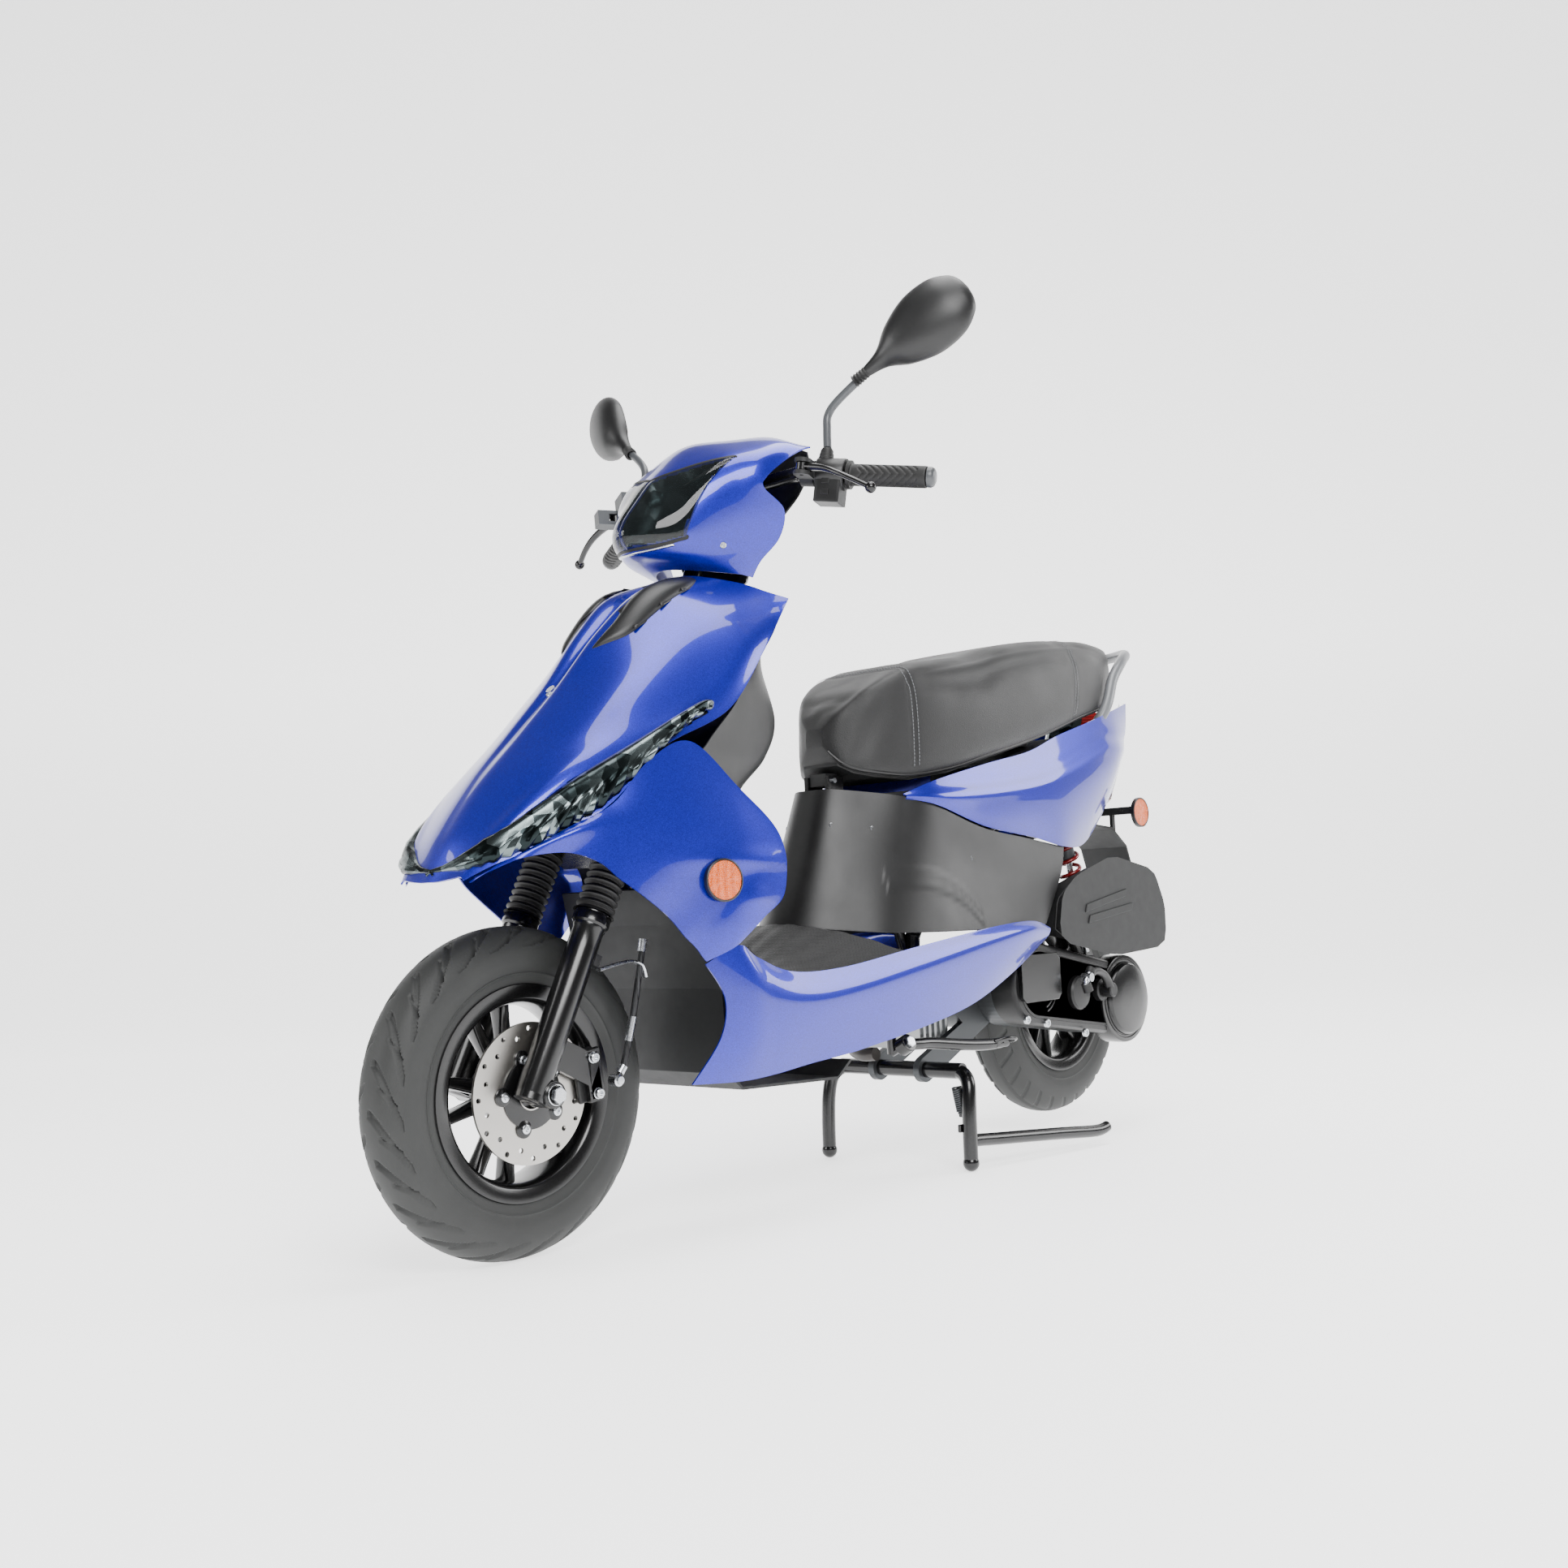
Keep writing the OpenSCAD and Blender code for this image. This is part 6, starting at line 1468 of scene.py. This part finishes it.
make("stand_springs", [coil(guides([[-108, 129, 132]])[0], guides([[-116, 131, 92]])[0], 0.0062, 0.0016, 12),
                       coil(guides([[-96, 129, 132]])[0], guides([[-104, 131, 92]])[0], 0.0062, 0.0016, 12)],
     dark_case, "main_stand")
side_path = guides([[40, 138, 214], [12, 142, 213], [-20, 145, 211], [-90, 157, 202], [-138, 164, 198],
                    [-172, 168, 197]])
make("side_stand_tube", tube(side_path, [0.0092, 0.0092, 0.0092, 0.0092, 0.0092, 0.0075], 20, 8), enamel,
     "prop_stand",
     "side_stand")
pin_axis = np.array([9, 89, 45]) / np.linalg.norm([9, 89, 45])
pin_at = guides([[40, 138, 214]])[0]
make("side_stand_boss", turned([(0.0055, -0.0105), (0.013, -0.0105), (0.0142, -0.009), (0.0142, 0.009),
                                (0.013, 0.0105), (0.0055, 0.0105)],
                               pin_at, pin_axis, 40), enamel, "prop_stand")
make("side_stand_pin_head", turned([(0.0052, 0.0105), (0.0095, 0.0108), (0.0095, 0.0145), (0.008, 0.0158),
                                    (1e-5, 0.0158)], pin_at, pin_axis, 6),
     zinc, "chassis")
make("side_stand_plug", [(p + TO_FRAME, f) for p, f in [boxed((-0.190, 0.159, 0.190),
                                                              (-0.150, 0.175, 0.206))]], enamel, "prop_stand",
     bevel=0.005, outward=True)
loop = guides([[-150, 172, 202], [-168, 184, 206], [-188, 186, 204], [-196, 178, 200], [-186, 170, 198]])
make("side_stand_loop", tube(loop, 0.0028, 12, 8), enamel, "prop_stand")
low_eye, top_eye = guides([[-580, 84, 318], [-500, 84, 640]])
shock_axis = (top_eye - low_eye) / np.linalg.norm(top_eye - low_eye)
shock_len = np.linalg.norm(top_eye - low_eye)
spring = make("shock_coil", coil(low_eye + shock_axis * 0.0715, low_eye + shock_axis * (shock_len - 0.0435),
                                 0.0182, 0.0037, 9, 28),
              finish("red_spring_lacquer", "#7d0f12", 0.1, 0.3, Coat_Weight=0.6)[0], "shock_upper",
              "shock_spring")
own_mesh(spring)
make("shock_seats", [turned([(0.0065, shock_len - 0.0405), (0.0232, shock_len - 0.0405),
                             (0.0238, shock_len - 0.038), (0.0238, shock_len - 0.034),
                             (0.0142, shock_len - 0.031),
                             (0.0142, shock_len - 0.003), (1e-5, shock_len - 0.003)], low_eye, shock_axis,
                             40)], enamel, "shock_upper")

# ---------- Finishes of the pieces that stay as packed ----------
# Plain turned, welded or blow-moulded pieces, mostly hidden, take the finish of their slot.
plain = {"black_paint": enamel, "black_panel": nylon, "dark_alloy": dark_case, "cast_alloy": fins_alloy,
         "rim_paint": enamel,
         "bright_steel": zinc, "rubber": rubber, "seat_vinyl": nylon, "grey_paint": grey_coat,
         "spring_steel": dark_case,
         "blue_panel": blue, "amber_lens": amber, "red_lens": red, "smoked_lens": smoked,
         "tyre_rubber": tyre_black}
by_own = {"engine_top": fins_alloy, "crankcase": dark_case,
          "horn_button": finish("yellow_button", "#c9a21a", 0.0, 0.4)[0],
          "starter_button": red, "fork_yoke": enamel, "frame": enamel, "storage_bucket": nylon,
          "fuel_tank": nylon,
          "brake_disc": None}
slots = {entry["node"]: entry["material_slot"] for entry in frame["record"]["subparts"]}
for name, node in frame["nodes"].items():
    own = by_own.get(name, plain.get(slots.get(name), nylon))
    if own is not None:
        node.data.materials.clear()
        node.data.materials.append(own)

# ---------- Studio ----------
# A white paper sweep under four soft boxes: a large key on the camera's left, a fill, a top and a rim light.
paper_tree = bpy.data.materials.new("white_paper")
paper_tree.use_nodes = True
paper_tree.node_tree.nodes["Principled BSDF"].inputs["Base Color"].default_value = linear("#f4f4f4")
paper_tree.node_tree.nodes["Principled BSDF"].inputs["Roughness"].default_value = 0.7
paper_tree.node_tree.nodes["Principled BSDF"].inputs["Emission Color"].default_value = linear("#ffffff")
paper_tree.node_tree.nodes["Principled BSDF"].inputs["Emission Strength"].default_value = 1.6
bend = np.linspace(0, math.pi / 2, 16)
lane = np.concatenate([[[6.0, 0.0]], np.stack([-3.0 - 1.5 * np.sin(bend), 1.5 - 1.5 * np.cos(bend)], axis=1),
                       [[-4.5, 6.0]]])
outward_view = np.array([math.cos(heading + math.pi), math.sin(heading + math.pi)])
wide_view = np.array([-outward_view[1], outward_view[0]])
span = np.array([-8.0, 8.0])
sweep_grid = np.concatenate([lane[:, None, :1] * outward_view + span[None, :, None] * wide_view,
                             np.broadcast_to(lane[:, None, 1:], (len(lane), 2, 1))], axis=2)
points, faces = quads(sweep_grid)
paper = bpy.data.meshes.new("paper_sweep")
paper.from_pydata(points.tolist(), [], [tuple(f) for f in np.concatenate(faces).tolist()])
paper.polygons.foreach_set("use_smooth", np.ones(len(paper.polygons), bool))
paper.materials.append(paper_tree)
sweep = bpy.data.objects.new("paper_sweep", paper)
bpy.context.scene.collection.objects.link(sweep)


def soft_box(name, place, target, wide, high, watts):
    """A rectangular area light that looks at a point."""
    light = bpy.data.lights.new(name, "AREA")
    light.shape, light.size, light.size_y, light.energy = "RECTANGLE", wide, high, watts
    lamp_object = bpy.data.objects.new(name, light)
    aim = Vector(target) - Vector(place)
    lamp_object.matrix_world = Matrix.Translation(place) @ aim.to_track_quat("-Z", "Y").to_matrix().to_4x4()
    bpy.context.scene.collection.objects.link(lamp_object)


soft_box("key_light", (2.2, 3.0, 2.6), (0.1, 0, 0.5), 2.2, 1.6, 170)
soft_box("fill_light", (3.4, -1.6, 1.8), (0.2, 0, 0.6), 1.6, 1.6, 60)
soft_box("top_light", (-0.2, 0.4, 3.2), (0, 0, 0.5), 2.6, 1.4, 90)
soft_box("rear_light", (-2.6, 2.2, 1.7), (-0.4, 0, 0.5), 1.4, 1.4, 60)
sky = bpy.data.worlds.new("studio_air")
bpy.context.scene.world = sky
sky.use_nodes = True
sky.node_tree.nodes["Background"].inputs["Color"].default_value = linear("#ffffff")
sky.node_tree.nodes["Background"].inputs["Strength"].default_value = 0.2
